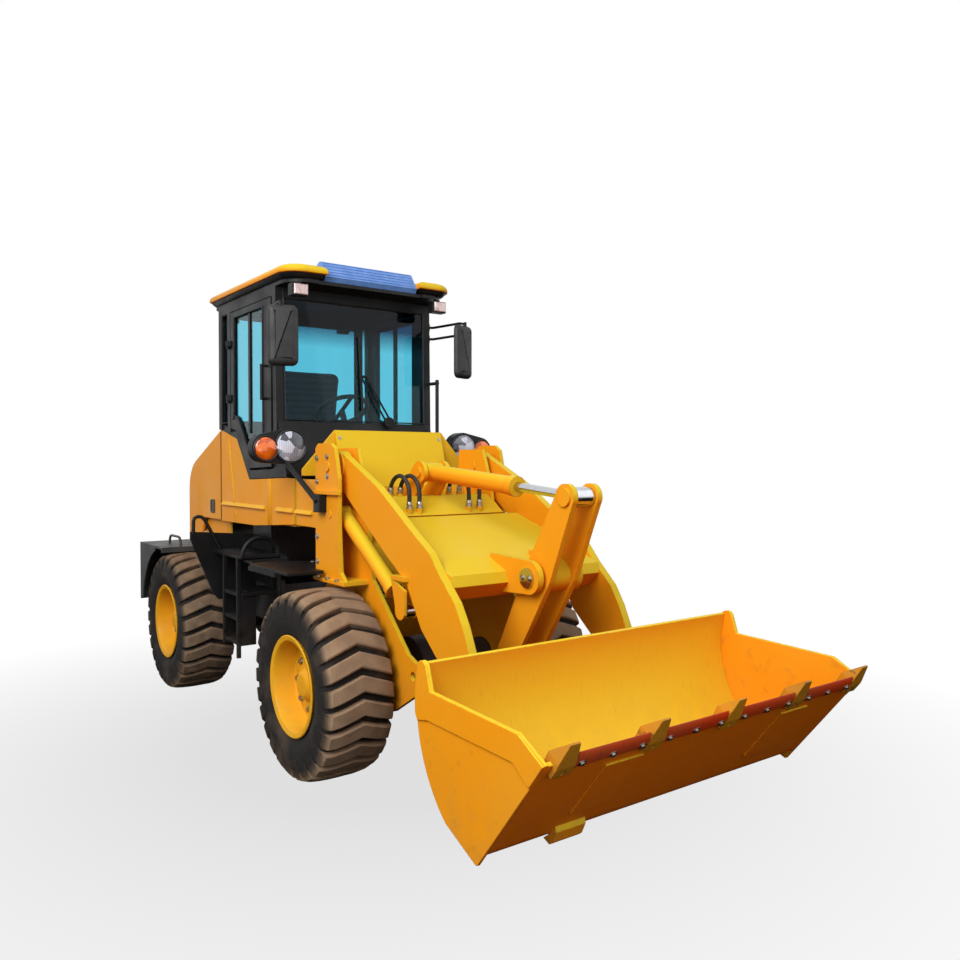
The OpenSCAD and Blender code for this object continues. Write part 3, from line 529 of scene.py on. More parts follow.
# slot in the record of each finish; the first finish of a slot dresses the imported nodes
SLOTS = {"loader": "loader_paint", "bucket": "loader_paint", "rim": "loader_paint", "tooth": "tooth_paint",
         "black": "black_paint", "grey": "dark_paint", "red": "edge_red", "amber": "edge_red",
         "ruby": "edge_red",
         "tyre": "tyre_rubber", "hose": "hose_rubber", "gasket": "hose_rubber", "plastic": "black_plastic",
         "visor": "visor_blue", "rose": "visor_blue", "glass": "window_glass", "clear": "window_glass",
         "chrome": "rod_chrome", "zinc": "rod_chrome", "mirror": "rod_chrome", "cloth": "seat_cloth"}


def arc(centre: Point, radius: float, start: float, end: float, steps: int) -> Outline:
    """Give outline points along a round stretch, angles in degrees."""
    turns = [math.radians(start + (end - start) * i / steps) for i in range(steps + 1)]
    return [(centre[0] + radius * math.cos(a), centre[1] + radius * math.sin(a)) for a in turns]


def drawn_in(outline: Outline, inset: float) -> Outline:
    """Draw a counter-clockwise outline in by an even amount.

    Args:
        outline: corner points.
        inset: distance that every side moves inwards.
    Returns:
        The same number of points.
    """
    made = []
    for i, here in enumerate(outline):
        back = Vector(here) - Vector(outline[i - 1])
        ahead = Vector(outline[(i + 1) % len(outline)]) - Vector(here)
        first = Vector((-back.y, back.x)).normalized()
        second = Vector((-ahead.y, ahead.x)).normalized()
        mitre = (first + second).normalized()
        reach = inset / max(0.3, mitre.dot(first))
        made.append((here[0] + mitre.x * reach, here[1] + mitre.y * reach))
    return made


def oblong(low_a: float, low_b: float, high_a: float, high_b: float) -> Outline:
    """Give the outline of a rectangle between two corners."""
    return [(low_a, low_b), (high_a, low_b), (high_a, high_b), (low_a, high_b)]


def rounded(half_a: float, half_b: float, corner: float) -> Outline:
    """Give the outline of a rectangle with round corners about the origin."""
    a, b = half_a - corner, half_b - corner
    quarters = (((a, b), 0), ((-a, b), 90), ((-a, -b), 180), ((a, -b), 270))
    return [point for centre, start in quarters for point in arc(centre, corner, start, start + 90, 6)]


def linked(name: str, data: Any) -> Piece:
    """Make an object of a mesh, curve, lamp or camera and link it to the scene."""
    made = bpy.data.objects.new(name, data)
    bpy.context.scene.collection.objects.link(made)
    return made


def settled(maker: Piece) -> Mesh:
    """Give a plain mesh of an object as its modifiers leave it."""
    return bpy.data.meshes.new_from_object(maker.evaluated_get(bpy.context.evaluated_depsgraph_get()))


class Shape:
    """Mesh under construction, in metres from the front axle."""

    def __init__(self, start: Optional[Mesh] = None) -> None:
        """Start empty or from a plain mesh."""
        self.mesh = bmesh.new()
        if start:
            self.mesh.from_mesh(start)

    def prism(self, outline: Outline, low: float, high: float, plane: Plane = Plane.SIDE) -> "Shape":
        """Add a plate: an outline pushed from one depth to another."""
        rings = [[self.mesh.verts.new(plane.place(a, b, depth)) for a, b in outline] for depth in (low, high)]
        count = len(outline)
        for i in range(count):
            j = (i + 1) % count
            self.mesh.faces.new((rings[0][i], rings[0][j], rings[1][j], rings[1][i]))
        self.mesh.faces.new(rings[0][::-1])
        self.mesh.faces.new(rings[1])
        return self

    def box(self, low: Point, high: Point) -> "Shape":
        """Add a plain block as part of a larger piece."""
        return self.prism(oblong(low[0], low[2], high[0], high[2]), low[1], high[1])

    def rings(self, loops: Iterable[Sequence[Vector]], closed: bool = True) -> "Shape":
        """Skin a row of loops with equal point counts and close both ends."""
        made = [[self.mesh.verts.new(p) for p in loop] for loop in loops]
        for first, second in zip(made, made[1:]):
            for i in range(len(first)):
                j = (i + 1) % len(first)
                self.mesh.faces.new((first[i], first[j], second[j], second[i]))
        if closed:
            self.mesh.faces.new(made[0][::-1])
            self.mesh.faces.new(made[-1])
        return self

    def loft(self, outline: Outline, steps: Sequence[tuple[float, float]],
             plane: Plane = Plane.PLAN) -> "Shape":
        """Stack an outline at several depths, each drawn in by its own inset.

        Args:
            outline: counter-clockwise outline.
            steps: pairs of depth and inset.
            plane: plane of the outline.
        Returns:
            The shape.
        """
        return self.rings([[plane.place(a, b, depth) for a, b in drawn_in(outline, inset)]
                           for depth, inset in steps])

    def tube(self, path: Sequence[Point], radius: float, sides: int = 12, loop: bool = False) -> "Shape":
        """Add a round bar along a path."""
        points = [Vector(p) for p in path]
        count = len(points)
        normal = Vector((0.13, 0.37, 0.92))
        loops = []
        for i, here in enumerate(points):
            before = points[i - 1] if i or loop else here
            after = points[(i + 1) % count] if i < count - 1 or loop else here
            along = ((here - before).normalized() + (after - here).normalized()).normalized()
            normal = (normal - along * normal.dot(along)).normalized()
            side = along.cross(normal)
            turns = [2 * math.pi * k / sides for k in range(sides)]
            loops.append([here + (normal * math.cos(t) + side * math.sin(t)) * radius for t in turns])
        if loop:
            return self.rings(loops + [loops[0]], closed=False)
        return self.rings(loops)

    def lathe(self, profile: Sequence[tuple[float, float]], centre: Point, axis: Point, sides: int = 64,
              loop: bool = False) -> "Shape":
        """Turn a profile of radius and distance about an axis.

        Args:
            profile: pairs of radius and distance along the axis.
            centre: point where the distance is zero.
            axis: direction of the axis.
            sides: points around.
            loop: whether the profile closes on itself.
        Returns:
            The shape.
        """
        along = Vector(axis).normalized()
        first = along.orthogonal().normalized()
        second = along.cross(first)
        turns = [2 * math.pi * k / sides for k in range(sides)]
        middle = Vector(centre)
        spokes = [first * math.cos(a) + second * math.sin(a) for a in turns]
        loops = [[middle + along * t + spoke * r for spoke in spokes] for r, t in profile]
        if loop:
            return self.rings(loops + [loops[0]], closed=False)
        return self.rings(loops)

    def turned(self, matrix: Matrix) -> "Shape":
        """Move everything made so far."""
        bmesh.ops.transform(self.mesh, matrix=matrix, verts=self.mesh.verts)
        return self

    def mirrored(self) -> "Shape":
        """Add the same shape on the other side of the machine."""
        whole = [*self.mesh.verts, *self.mesh.edges, *self.mesh.faces]
        copy = bmesh.ops.duplicate(self.mesh, geom=whole)
        verts = [g for g in copy["geom"] if isinstance(g, bmesh.types.BMVert)]
        bmesh.ops.scale(self.mesh, vec=(1, -1, 1), verts=verts)
        return self

    def data(self, name: str, shift: bool = True) -> Mesh:
        """Close the mesh: doubles merged, normals outwards, moved to the frame."""
        bmesh.ops.remove_doubles(self.mesh, verts=self.mesh.verts, dist=1e-5)
        bmesh.ops.recalc_face_normals(self.mesh, faces=self.mesh.faces)
        made = bpy.data.meshes.new(name)
        self.mesh.to_mesh(made)
        self.mesh.free()
        if shift:
            made.transform(Matrix.Translation((AXLE_X, 0, 0)))
        return made


def show(name: str, form: Union[Shape, Mesh], finish: str, body: str, bevel: float = 0.0,
         smooth: float = 32.0) -> Piece:
    """Make a finished piece and let it ride on its body.

    Args:
        name: name of the piece.
        form: shape from the front axle, or a mesh in the frame's place.
        finish: field name of its finish.
        body: body that carries it.
        bevel: width of the rounded edges in metres.
        smooth: angle in degrees up to which faces shade as one.
    Returns:
        The piece.
    """
    mesh = form.data(name) if isinstance(form, Shape) else form
    piece = linked(name, mesh)
    mesh.materials.clear()
    mesh.materials.append(FINISH.of(finish))
    mesh.shade_smooth()
    mesh.set_sharp_from_angle(angle=math.radians(smooth))
    if bevel:
        edge = piece.modifiers.new("edges", "BEVEL")
        edge.width, edge.segments, edge.limit_method = bevel, 2, "ANGLE"
        edge.angle_limit = math.radians(34)
        edge.harden_normals = True
    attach(piece, body)
    LOG.info("%s: %d faces on %s", name, len(mesh.polygons), body)
    return piece


class Repeats:
    """Geometry Nodes trees for what repeats."""

    def __init__(self) -> None:
        """Build both trees."""
        self.row, self.row_ids = self._row()
        self.bolt, self.bolt_ids = self._bolt()

    @staticmethod
    def _start(name: str, inputs: dict[str, str]) -> tuple[Tree, Any, dict[str, str]]:
        """Start a tree with named inputs and a geometry socket at both ends."""
        tree = bpy.data.node_groups.new(name, "GeometryNodeTree")
        ids = {}
        for label, kind in {"Geometry": "NodeSocketGeometry", **inputs,
                            "Material": "NodeSocketMaterial"}.items():
            ids[label] = tree.interface.new_socket(label, in_out="INPUT", socket_type=kind).identifier
        tree.interface.new_socket("Geometry", in_out="OUTPUT", socket_type="NodeSocketGeometry")
        return tree, add_node(tree, "NodeGroupInput"), ids

    @staticmethod
    def _end(tree: Tree, start: Any, instances: Any) -> None:
        """Make the copies real and give them their material."""
        real = add_node(tree, "GeometryNodeRealizeInstances", {0: instances})
        dressed = add_node(tree, "GeometryNodeSetMaterial",
                           {"Geometry": real.outputs[0], "Material": start.outputs["Material"]})
        add_node(tree, "NodeGroupOutput", {0: dressed.outputs[0]})

    def _row(self) -> tuple[Tree, dict[str, str]]:
        """Build the tree that repeats a mesh along a step and about a turn."""
        tree, start, ids = self._start("row_of_copies", {"Count": "NodeSocketInt", "Step": "NodeSocketVector",
                                                         "Turn": "NodeSocketVector"})
        line = add_node(tree, "GeometryNodeMeshLine",
                        {"Count": start.outputs["Count"], "Offset": start.outputs["Step"]})
        index = add_node(tree, "GeometryNodeInputIndex")
        turn = add_node(tree, "ShaderNodeVectorMath", {0: start.outputs["Turn"], "Scale": index.outputs[0]},
                        operation="SCALE")
        euler = add_node(tree, "FunctionNodeEulerToRotation", {0: turn.outputs[0]})
        copies = add_node(tree, "GeometryNodeInstanceOnPoints",
                          {"Points": line.outputs[0], "Instance": start.outputs["Geometry"],
                           "Rotation": euler.outputs[0]})
        self._end(tree, start, copies.outputs[0])
        return tree, ids

    def _bolt(self) -> tuple[Tree, dict[str, str]]:
        """Build the tree that sets a hexagon bolt with its washer on every point."""
        size = "NodeSocketFloat"
        tree, start, ids = self._start("hexagon_bolts", {"Head Radius": size, "Head Height": size,
                                                         "Washer Radius": size, "Washer Height": size})
        parts = []
        for label, sides in (("Head", 6), ("Washer", 16)):
            deep = start.outputs[label + " Height"]
            solid = add_node(tree, "GeometryNodeMeshCylinder",
                             {"Radius": start.outputs[label + " Radius"], "Depth": deep}, {"Vertices": sides})
            half = add_node(tree, "ShaderNodeMath", {0: deep}, {1: 0.5}, operation="MULTIPLY")
            lift = add_node(tree, "ShaderNodeCombineXYZ", {"Z": half.outputs[0]})
            parts.append(add_node(tree, "GeometryNodeTransform",
                                  {"Geometry": solid.outputs[0], "Translation": lift.outputs[0]}).outputs[0])
        whole = add_node(tree, "GeometryNodeJoinGeometry")
        for part in parts:
            tree.links.new(part, whole.inputs[0])
        facing = add_node(tree, "GeometryNodeInputNamedAttribute", None, {"Name": "facing"},
                          data_type="FLOAT_VECTOR")
        aim = add_node(tree, "FunctionNodeAlignRotationToVector", {"Vector": facing.outputs[0]}, axis="Z")
        copies = add_node(tree, "GeometryNodeInstanceOnPoints",
                          {"Points": start.outputs["Geometry"], "Instance": whole.outputs[0],
                           "Rotation": aim.outputs[0]})
        self._end(tree, start, copies.outputs[0])
        return tree, ids

    @staticmethod
    def _bake(mesh: Mesh, tree: Tree, ids: dict[str, str], inputs: dict[str, Any]) -> Mesh:
        """Run a tree on a mesh once and give the plain result."""
        maker = linked("maker", mesh)
        run = maker.modifiers.new("run", "NODES")
        run.node_group = tree
        for label, value in inputs.items():
            run[ids[label]] = value
        result = settled(maker)
        maker.modifiers.remove(run)
        bpy.data.objects.remove(maker)
        return result

    def copies(self, shape: Shape, count: int, step: Point, turn: Point, finish: str) -> Mesh:
        """Repeat a shape.

        Args:
            shape: shape that is repeated, about the origin.
            count: number of copies.
            step: move from one copy to the next.
            turn: turn from one copy to the next, in radians.
            finish: field name of its finish.
        Returns:
            A plain mesh, not yet moved to the frame.
        """
        return self._bake(shape.data("seed", shift=False), self.row, self.row_ids,
                          {"Count": count, "Step": tuple(step), "Turn": tuple(turn),
                           "Material": FINISH.of(finish)})

    def bolts(self, name: str, spots: Sequence[Spot], body: str, head: float, height: float) -> Piece:
        """Set a zinc-plated bolt on every spot.

        Args:
            name: name of the piece.
            spots: pairs of point, from the front axle, and outward direction.
            body: body that carries them.
            head: radius of the hexagon.
            height: height of the head.
        Returns:
            The piece.
        """
        mesh = bpy.data.meshes.new(name)
        mesh.from_pydata([tuple(p) for p, _ in spots], [], [])
        facing = mesh.attributes.new("facing", "FLOAT_VECTOR", "POINT")
        for i, (_, way) in enumerate(spots):
            facing.data[i].vector = way
        made = self._bake(mesh, self.bolt, self.bolt_ids,
                          {"Head Radius": head, "Head Height": height, "Washer Radius": head * 1.55,
                           "Washer Height": height * 0.28, "Material": FINISH.of("zinc")})
        made.transform(Matrix.Translation((AXLE_X, 0, 0)))
        return show(name, made, "zinc", body)


def both_sides(spots: Sequence[Spot]) -> list[Spot]:
    """Repeat bolt spots on the other side of the machine."""
    return list(spots) + [((p[0], -p[1], p[2]), (d[0], -d[1], d[2])) for p, d in spots]


@dataclass(frozen=True)
class SoftLamp:
    """Square area lamp: its place, its width in metres and its power in watts."""
    name: str
    spot: tuple[float, float, float]
    size: float
    power: float


@dataclass
class Studio:
    """Camera of the photograph, soft light, white surround and pale floor."""
    lens: float = 31.58
    sensor: float = 36.0
    stand: tuple[float, float, float] = (4.430, -2.812, 1.799)
    turn: float = 36.184
    dip: float = 1.243
    surround: float = 0.55
    lamps: tuple[SoftLamp, ...] = (SoftLamp("key", (3.3, -5.8, 5.6), 5.0, 520.0),
                                   SoftLamp("fill", (4.5, 4.5, 4.5), 5.0, 45.0),
                                   SoftLamp("low", (6.0, -2.0, 0.9), 2.0, 26.0))
    lamp_aim: tuple[float, float, float] = (0.0, 0.0, 1.2)
    floor_reach: float = 14.0
    fade_start: float = 1.2
    fade_end: float = 4.4
    fade_share: float = 0.74

    def build(self) -> None:
        """Set the camera, the light and the floor."""
        self._camera()
        self._light()
        self._floor()

    def _camera(self) -> None:
        """Stand the camera where the photograph was taken."""
        view = bpy.data.cameras.new("view")
        view.lens, view.sensor_width = self.lens, self.sensor
        eye = linked("view", view)
        turn, dip = math.radians(self.turn), math.radians(self.dip)
        aim = Vector((-math.cos(turn) * math.cos(dip), math.sin(turn) * math.cos(dip), -math.sin(dip)))
        eye.location = (self.stand[0] + AXLE_X, self.stand[1], self.stand[2])
        eye.rotation_euler = aim.to_track_quat("-Z", "Y").to_euler()
        bpy.context.scene.camera = eye

    def _light(self) -> None:
        """Hang large soft lamps in an even white surround."""
        for soft in self.lamps:
            lamp = bpy.data.lights.new(soft.name, "AREA")
            lamp.energy, lamp.size = soft.power, soft.size
            stand = linked(soft.name, lamp)
            stand.location = soft.spot
            aim = Vector(self.lamp_aim) - Vector(soft.spot)
            stand.rotation_euler = aim.to_track_quat("-Z", "Y").to_euler()
        world = bpy.data.worlds.new("surround")
        bpy.context.scene.world = world
        world.use_nodes = True
        tree = world.node_tree
        tree.nodes.clear()
        rays = add_node(tree, "ShaderNodeLightPath")
        seen = rays.outputs["Is Camera Ray"]
        for ray in ("Is Glossy Ray", "Is Transmission Ray"):
            seen = add_node(tree, "ShaderNodeMath", {0: seen, 1: rays.outputs[ray]},
                            operation="MAXIMUM").outputs[0]
        level = remap(tree, seen, to_low=self.surround)
        glow = add_node(tree, "ShaderNodeBackground", {"Strength": level}, {"Color": WHITE})
        add_node(tree, "ShaderNodeOutputWorld", {"Surface": glow.outputs[0]})
        bpy.context.scene.view_settings.view_transform = "Standard"

    def _floor(self) -> None:
        """Lay a pale floor that keeps the shadow and fades into the surround."""
        shape = Shape()
        shape.lathe([(0.01, 0), (3.0, 0), (self.floor_reach, 0)], (0, 0, -0.001), (0, 0, 1), 96)
        floor = linked("floor", shape.data("floor"))
        made, tree, coords = blank_material("pale_floor")
        rays = add_node(tree, "ShaderNodeLightPath")
        grit = tint(tree, blotches(tree, coords, 30, 0.3, 0.7), "#E9E9E8", "#EFEFEE")
        matte = add_node(tree, "ShaderNodeBsdfDiffuse", {"Color": grit})
        glow = add_node(tree, "ShaderNodeEmission", None, {"Color": WHITE, "Strength": 1.0})
        away = add_node(tree, "ShaderNodeVectorMath", {0: coords}, operation="LENGTH")
        fade = remap(tree, away.outputs["Value"], self.fade_start, self.fade_end, self.fade_share)
        share = times(tree, fade, rays.outputs["Is Camera Ray"])
        mixed = add_node(tree, "ShaderNodeMixShader", {0: share, 1: matte.outputs[0], 2: glow.outputs[0]})
        add_node(tree, "ShaderNodeOutputMaterial", {"Surface": mixed.outputs[0]})
        floor.data.materials.append(made)


@dataclass
class Hoses:
    """Hydraulic hoses that arch out of the tower plate and back into it."""
    sides: tuple[float, ...] = (-0.22, -0.15, 0.21, 0.29)
    middle: tuple[float, float] = (0.070, 1.602)
    foot: float = 1.522
    bend: float = 0.112
    diameter: float = 0.026
    turns: int = 26
    drops: int = 6
    ferrule: float = 0.019

    def build(self) -> None:
        """Make each hose with its two crimped ferrules."""
        for number, side in enumerate(self.sides, 1):
            path = self._route(side)
            line = bpy.data.curves.new(f"hose_{number}", "CURVE")
            line.dimensions, line.bevel_depth, line.bevel_resolution = "3D", self.diameter / 2, 4
            line.use_fill_caps = True
            spline = line.splines.new("POLY")
            spline.points.add(len(path) - 1)
            for knot, spot in zip(spline.points, path):
                knot.co = (*spot, 1)
            line.materials.append(FINISH.of("hose"))
            hose = linked(f"hose_{number}", line)
            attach(hose, "front_frame")
            ends = self._ferrules(number, path)
            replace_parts(hose, "hoses")

    def _route(self, side: float) -> list[Vector]:
        """Give the hose's points: a half circle out of the rear port, then down to the front one."""
        x, z = AXLE_X + self.middle[0], self.middle[1]
        around = [math.pi * (1 - i / self.turns) for i in range(self.turns + 1)]
        path = [Vector((x + self.bend * math.cos(a), side, z + self.bend * math.sin(a))) for a in around]
        fall = (z - self.foot) / self.drops
        return path + [Vector((x + self.bend, side, z - fall * i)) for i in range(1, self.drops + 1)]

    def _ferrules(self, number: int, path: Sequence[Vector]) -> Piece:
        """Crimp a ferrule on both ends of a hose."""
        shape = Shape()
        for first, second in ((path[0], path[3]), (path[-1], path[-4])):
            reach = (second - first).length
            r = self.ferrule
            profile = [(r * 0.72, -0.004), (r, 0.0), (r, 0.012), (r * 0.86, 0.015), (r * 0.86, 0.019),
                       (r, 0.022), (r, reach - 0.01), (r * 0.8, reach)]
            shape.lathe(profile, first, second - first, 20)
        return show(f"hose_ferrules_{number}", shape.data("ferrules", shift=False), "zinc", "front_frame")


@dataclass
class Wheel:
    """Wheel: lugged tyre, dished rim, hub and nuts."""
    end: End
    side: Side
    radius: float = 0.535
    half: float = 0.2025
    rim: float = 0.268
    lugs: int = 26
    lug_top: float = 0.080
    lug_foot: float = 0.096
    sweep: float = 0.070
    nuts: int = 8
    nut_ring: float = 0.150
    nut_face: float = 0.071
    nut_radius: float = 0.015
    nut_height: float = 0.018
    dust_foot: float = 0.485
    dust_run: float = 0.03
    # share of the tread colour on the rear tyres: less dust, and painted shade for the rear tyres' shadow
    rear_dust_and_shade: float = 0.6

    @property
    def label(self) -> str:
        """Name of the wheel's station."""
        return f"{self.end.name.lower()}_{self.side.name.lower()}"

    def place(self) -> Matrix:
        """Matrix from the wheel's own frame, outboard along +Y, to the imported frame."""
        turn = Matrix.Rotation(0 if self.side is Side.LEFT else math.pi, 4, "Z")
        return Matrix.Translation((AXLE_X + self.end.value, self.side.value * WHEEL_Y, AXLE_Z)) @ turn

    def build(self, repeats: Repeats) -> None:
        """Make the tyre and the rim."""
        self._tyre(repeats)
        self._rim(repeats)

    def _lug(self) -> Shape:
        """Shape one chevron bar, wrapped over both shoulders."""
        stations = [(0.203, 0.430), (0.2025, 0.455), (0.197, 0.492), (0.178, 0.516), (0.14, 0.5285),
                    (0.09, 0.5335), (0.045, 0.5350), (0.0, 0.5350)]
        row = [(-y, r) for y, r in stations] + [(y, r) for y, r in stations[-2::-1]]
        lead = -1.0 if self.side is Side.LEFT else 1.0
        loops = []
        for y, r in row:
            shift = -lead * (self.sweep * (abs(y) / self.half) - self.sweep * 0.5)
            top, foot = self.lug_top / 2, self.lug_foot / 2
            cross = [(-foot, r - 0.045), (-top - 0.004, r - 0.006), (-top + 0.004, r), (top - 0.004, r),
                     (top + 0.004, r - 0.006), (foot, r - 0.045)]
            loop = []
            for along, reach in cross:
                a = (along + shift) / self.radius
                loop.append(Vector((reach * math.sin(a), y, reach * math.cos(a))))
            loops.append(loop)
        return Shape().rings(loops)

    def _tyre(self, repeats: Repeats) -> None:
        """Turn the carcass and set the lugs round it."""
        half_profile = [(self.rim - 0.004, 0.148), (0.272, 0.166), (0.290, 0.176), (0.312, 0.186),
                        (0.318, 0.1875),
                        (0.330, 0.193), (0.365, 0.2005), (0.400, 0.2015), (0.440, 0.1995), (0.468, 0.191),
                        (0.487, 0.172), (0.497, 0.140), (0.502, 0.08)]
        profile = half_profile + [(r, -t) for r, t in half_profile[::-1]]
        carcass = Shape().lathe(profile, (0, 0, 0), (0, 1, 0), 104, loop=True).data("carcass", shift=False)
        lugs = repeats.copies(self._lug(), self.lugs, (0, 0, 0), (0, 2 * math.pi / self.lugs, 0), "tyre")
        whole = Shape(carcass).mesh
        whole.from_mesh(lugs)
        made = bpy.data.meshes.new("tyre")
        whole.to_mesh(made)
        whole.free()
        tread = made.attributes.new("tread", "FLOAT", "POINT")
        ground = len(carcass.vertices)
        # rear tyres: less dust and painted shade in the tread colour
        dust = 1.0 if self.end is End.FRONT else self.rear_dust_and_shade
        for i, v in enumerate(made.vertices):
            reach = math.hypot(v.co.x, v.co.z)
            share = min(1.0, max(0.0, (reach - self.dust_foot) / self.dust_run))
            tread.data[i].value = 0.0 if i < ground else dust * share
        made.transform(self.place())
        name = f"tyre_{self.label}"
        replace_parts(show(f"lugged_{name}", made, "tyre", f"wheel_{self.label}"), name)

    def _rim(self, repeats: Repeats) -> None:
        """Turn the rim with its dish and hub, and set the nuts."""
        hw, r = self.half, self.rim
        profile = [(r - 0.001, 0.035 - hw), (r + 0.016, 0.022 - hw), (r + 0.020, 0.016 - hw),
                   (r + 0.016, 0.010 - hw),
                   (r - 0.010, 0.014 - hw), (r - 0.026, 0.040 - hw), (r - 0.026, 0.030), (0.110, 0.060),
                   (0.0605, 0.062),
                   (0.0605, 0.095), (0.002, 0.095), (0.002, 0.124), (0.050, 0.124), (0.066, 0.121),
                   (0.074, 0.114),
                   (0.084, 0.106), (0.092, 0.098), (0.096, 0.084), (0.112, 0.080), (0.178, 0.066),
                   (0.205, 0.056),
                   (0.226, 0.052), (0.236, 0.058), (0.242, 0.072), (r - 0.026, hw - 0.040),
                   (r - 0.012, hw - 0.016),
                   (r + 0.014, hw - 0.009), (r + 0.020, hw - 0.014), (r + 0.016, hw - 0.022),
                   (r - 0.001, hw - 0.035)]
        made = Shape().lathe(profile, (0, 0, 0), (0, 1, 0), 96, loop=True).data("rim", shift=False)
        made.transform(self.place())
        name = f"rim_{self.label}"
        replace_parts(show(f"dished_{name}", made, "rim", f"wheel_{self.label}"), name)
        step = 2 * math.pi / self.nuts
        ring = [Vector((self.nut_ring * math.cos(i * step), self.nut_face,
                        self.nut_ring * math.sin(i * step)))
                for i in range(self.nuts)]
        move = Matrix.Translation((-AXLE_X, 0, 0)) @ self.place()
        out = move.to_3x3() @ Vector((0, 1, 0))
        repeats.bolts(f"nuts_{self.label}", [(move @ p, out) for p in ring], f"wheel_{self.label}",
                      self.nut_radius, self.nut_height)


@dataclass
class Bucket:
    """Rolled-back bucket: bent sheet, side plates with a raised band, hinge ears, wear strips and bolts."""
    heel: tuple[float, float] = (1.903, 0.279)
    roll: float = 51.5
    half: float = 0.991
    side: float = 0.024
    sheet: float = 0.018
    floor: float = 0.640
    heel_bend: float = 0.170
    heel_back: float = 0.055
    back_middle: tuple[float, float] = (0.5106, 0.220)
    back_end: float = 112.0
    arm_hinge: tuple[float, float] = (-0.160, 0.224)
    link_hinge: tuple[float, float] = (-0.100, 0.430)
    ear_steps: tuple[float, float] = (0.470, 0.550)
    teeth: int = 5

    def place(self) -> Matrix:
        """Matrix from the bucket's own frame, floor along X, to the front axle's frame."""
        roll = Matrix.Rotation(-math.radians(self.roll), 4, "Y")
        return Matrix.Translation((self.heel[0], 0, self.heel[1])) @ roll

    def _arcs(self, inset: float) -> Outline:
        """Outline of the bent sheet's round stretches, from the floor to the top."""
        back = self.back_middle[0] + self.heel_back
        return (arc((self.heel_bend - self.heel_back, self.heel_bend), self.heel_bend - inset, 270, 180, 20)
                + arc(self.back_middle, back - inset, 180, self.back_end, 44))

    def build(self, repeats: Repeats) -> None:
        """Make the bucket, its ears, strips and bolts."""
        inner = self.half - self.side
        lip = self.floor - 0.010
        shell = Shape().prism([(lip, self.sheet), (lip, 0.0)] + self._arcs(0) + self._arcs(self.sheet)[::-1],
                              -inner, inner)
        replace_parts(self._show("bucket_sheet", shell, 0.002), "bucket")
        back = [p for p in self._arcs(0) if p[1] >= self.back_middle[1]]
        front = arc((0.298, 0.708), 0.036, 82, -20, 8) + [(0.275, 0.610), (0.607, 0.158)]
        plate = [(self.floor - 0.002, 0), (0.012, 0), (0.002, 0.006)] + back + front
        self._show("bucket_side_plates", Shape().prism(plate, inner, self.half - 0.009).mirrored(), 0.003)
        band = [(self.floor - 0.008, 0.001), (0.508, 0.001), (0.504, 0.111), (0.168, 0.550), (0.108, 0.600)]
        band += [p for p in back if p[1] > 0.62] + front
        self._show("bucket_side_bands", Shape().prism(band, self.half - 0.010, self.half).mirrored(), 0.0025)
        strips = Shape().box((0.215, 0.437, -0.009), (self.floor - 0.110, 0.637, 0.001)).mirrored()
        step = [(0.040, -0.024), (0.062, -0.030), (0.112, -0.018), (0.130, 0.002), (0.060, 0.006),
                (0.030, 0.014)]
        strips.prism(step, -0.660, -0.500)
        self._show("bucket_wear_strips", strips, 0.002)
        self._ears()
        self._edge(repeats)

    def _show(self, name: str, shape: Shape, bevel: float) -> Piece:
        """Bring a shape from the bucket's frame to the machine and show it."""
        return show(name, shape.turned(self.place()), "bucket", "bucket", bevel, 24)

    def _ears(self) -> None:
        """Make the hinge ears for the arms and for the link."""
        s, n = self.arm_hinge
        arms = Shape()
        for step in self.ear_steps:
            arms.prism([(-0.020, 0.060), (s + 0.020, n - 0.066)] + arc((s, n), 0.070, -70, -290, 18)
                       + [(s - 0.012, n + 0.068), (-0.040, 0.400), (0.006, 0.448), (-0.020, 0.400),
                          (-0.044, 0.310), (-0.048, 0.210), (-0.040, 0.120)], step, step + 0.020)
        self._show("bucket_arm_ears", arms.mirrored(), 0.002)
        s, n = self.link_hinge
        link = Shape().prism([(-0.050, 0.310), (s - 0.046, n - 0.030)] + arc((s, n), 0.056, 215, 100, 12)
                             + [(0.052, 0.545), (-0.005, 0.440), (-0.036, 0.340)], 0.055, 0.081)
        cap = [(0.002, 0), (0.040, 0), (0.040, 0.010), (0.036, 0.012), (0.002, 0.012)]
        link.lathe(cap, (s, 0.081, n), (0, 1, 0), 32)
        self._show("bucket_link_ears", link.mirrored(), 0.002)

    def _edge(self, repeats: Repeats) -> None:
        """Bolt the edge segments under the lip, between the teeth."""
        pitch = (2 * self.half - 0.180) / (self.teeth - 1)
        middles = [(i - (self.teeth - 2) / 2) * pitch for i in range(self.teeth - 1)]
        section = [(self.floor - 0.034, -0.0015), (self.floor + 0.040, -0.0015), (self.floor + 0.037, -0.006),
                   (self.floor + 0.012, -0.019), (self.floor - 0.030, -0.019), (self.floor - 0.034, -0.015)]
        edge = Shape()
        for y in middles:
            edge.prism(section, y - pitch / 2 + 0.046, y + pitch / 2 - 0.046)
        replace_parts(show("edge_segments", edge.turned(self.place()), "red", "bucket", 0.002), "cutting_edge")
        move = self.place()
        down = move.to_3x3() @ Vector((0, 0, -1))
        spots = [(move @ Vector((self.floor - 0.010, y + off, -0.019)), down)
                 for y in middles for off in (-0.15, 0.0, 0.15)]
        repeats.bolts("edge_bolts", spots, "bucket", 0.011, 0.008)


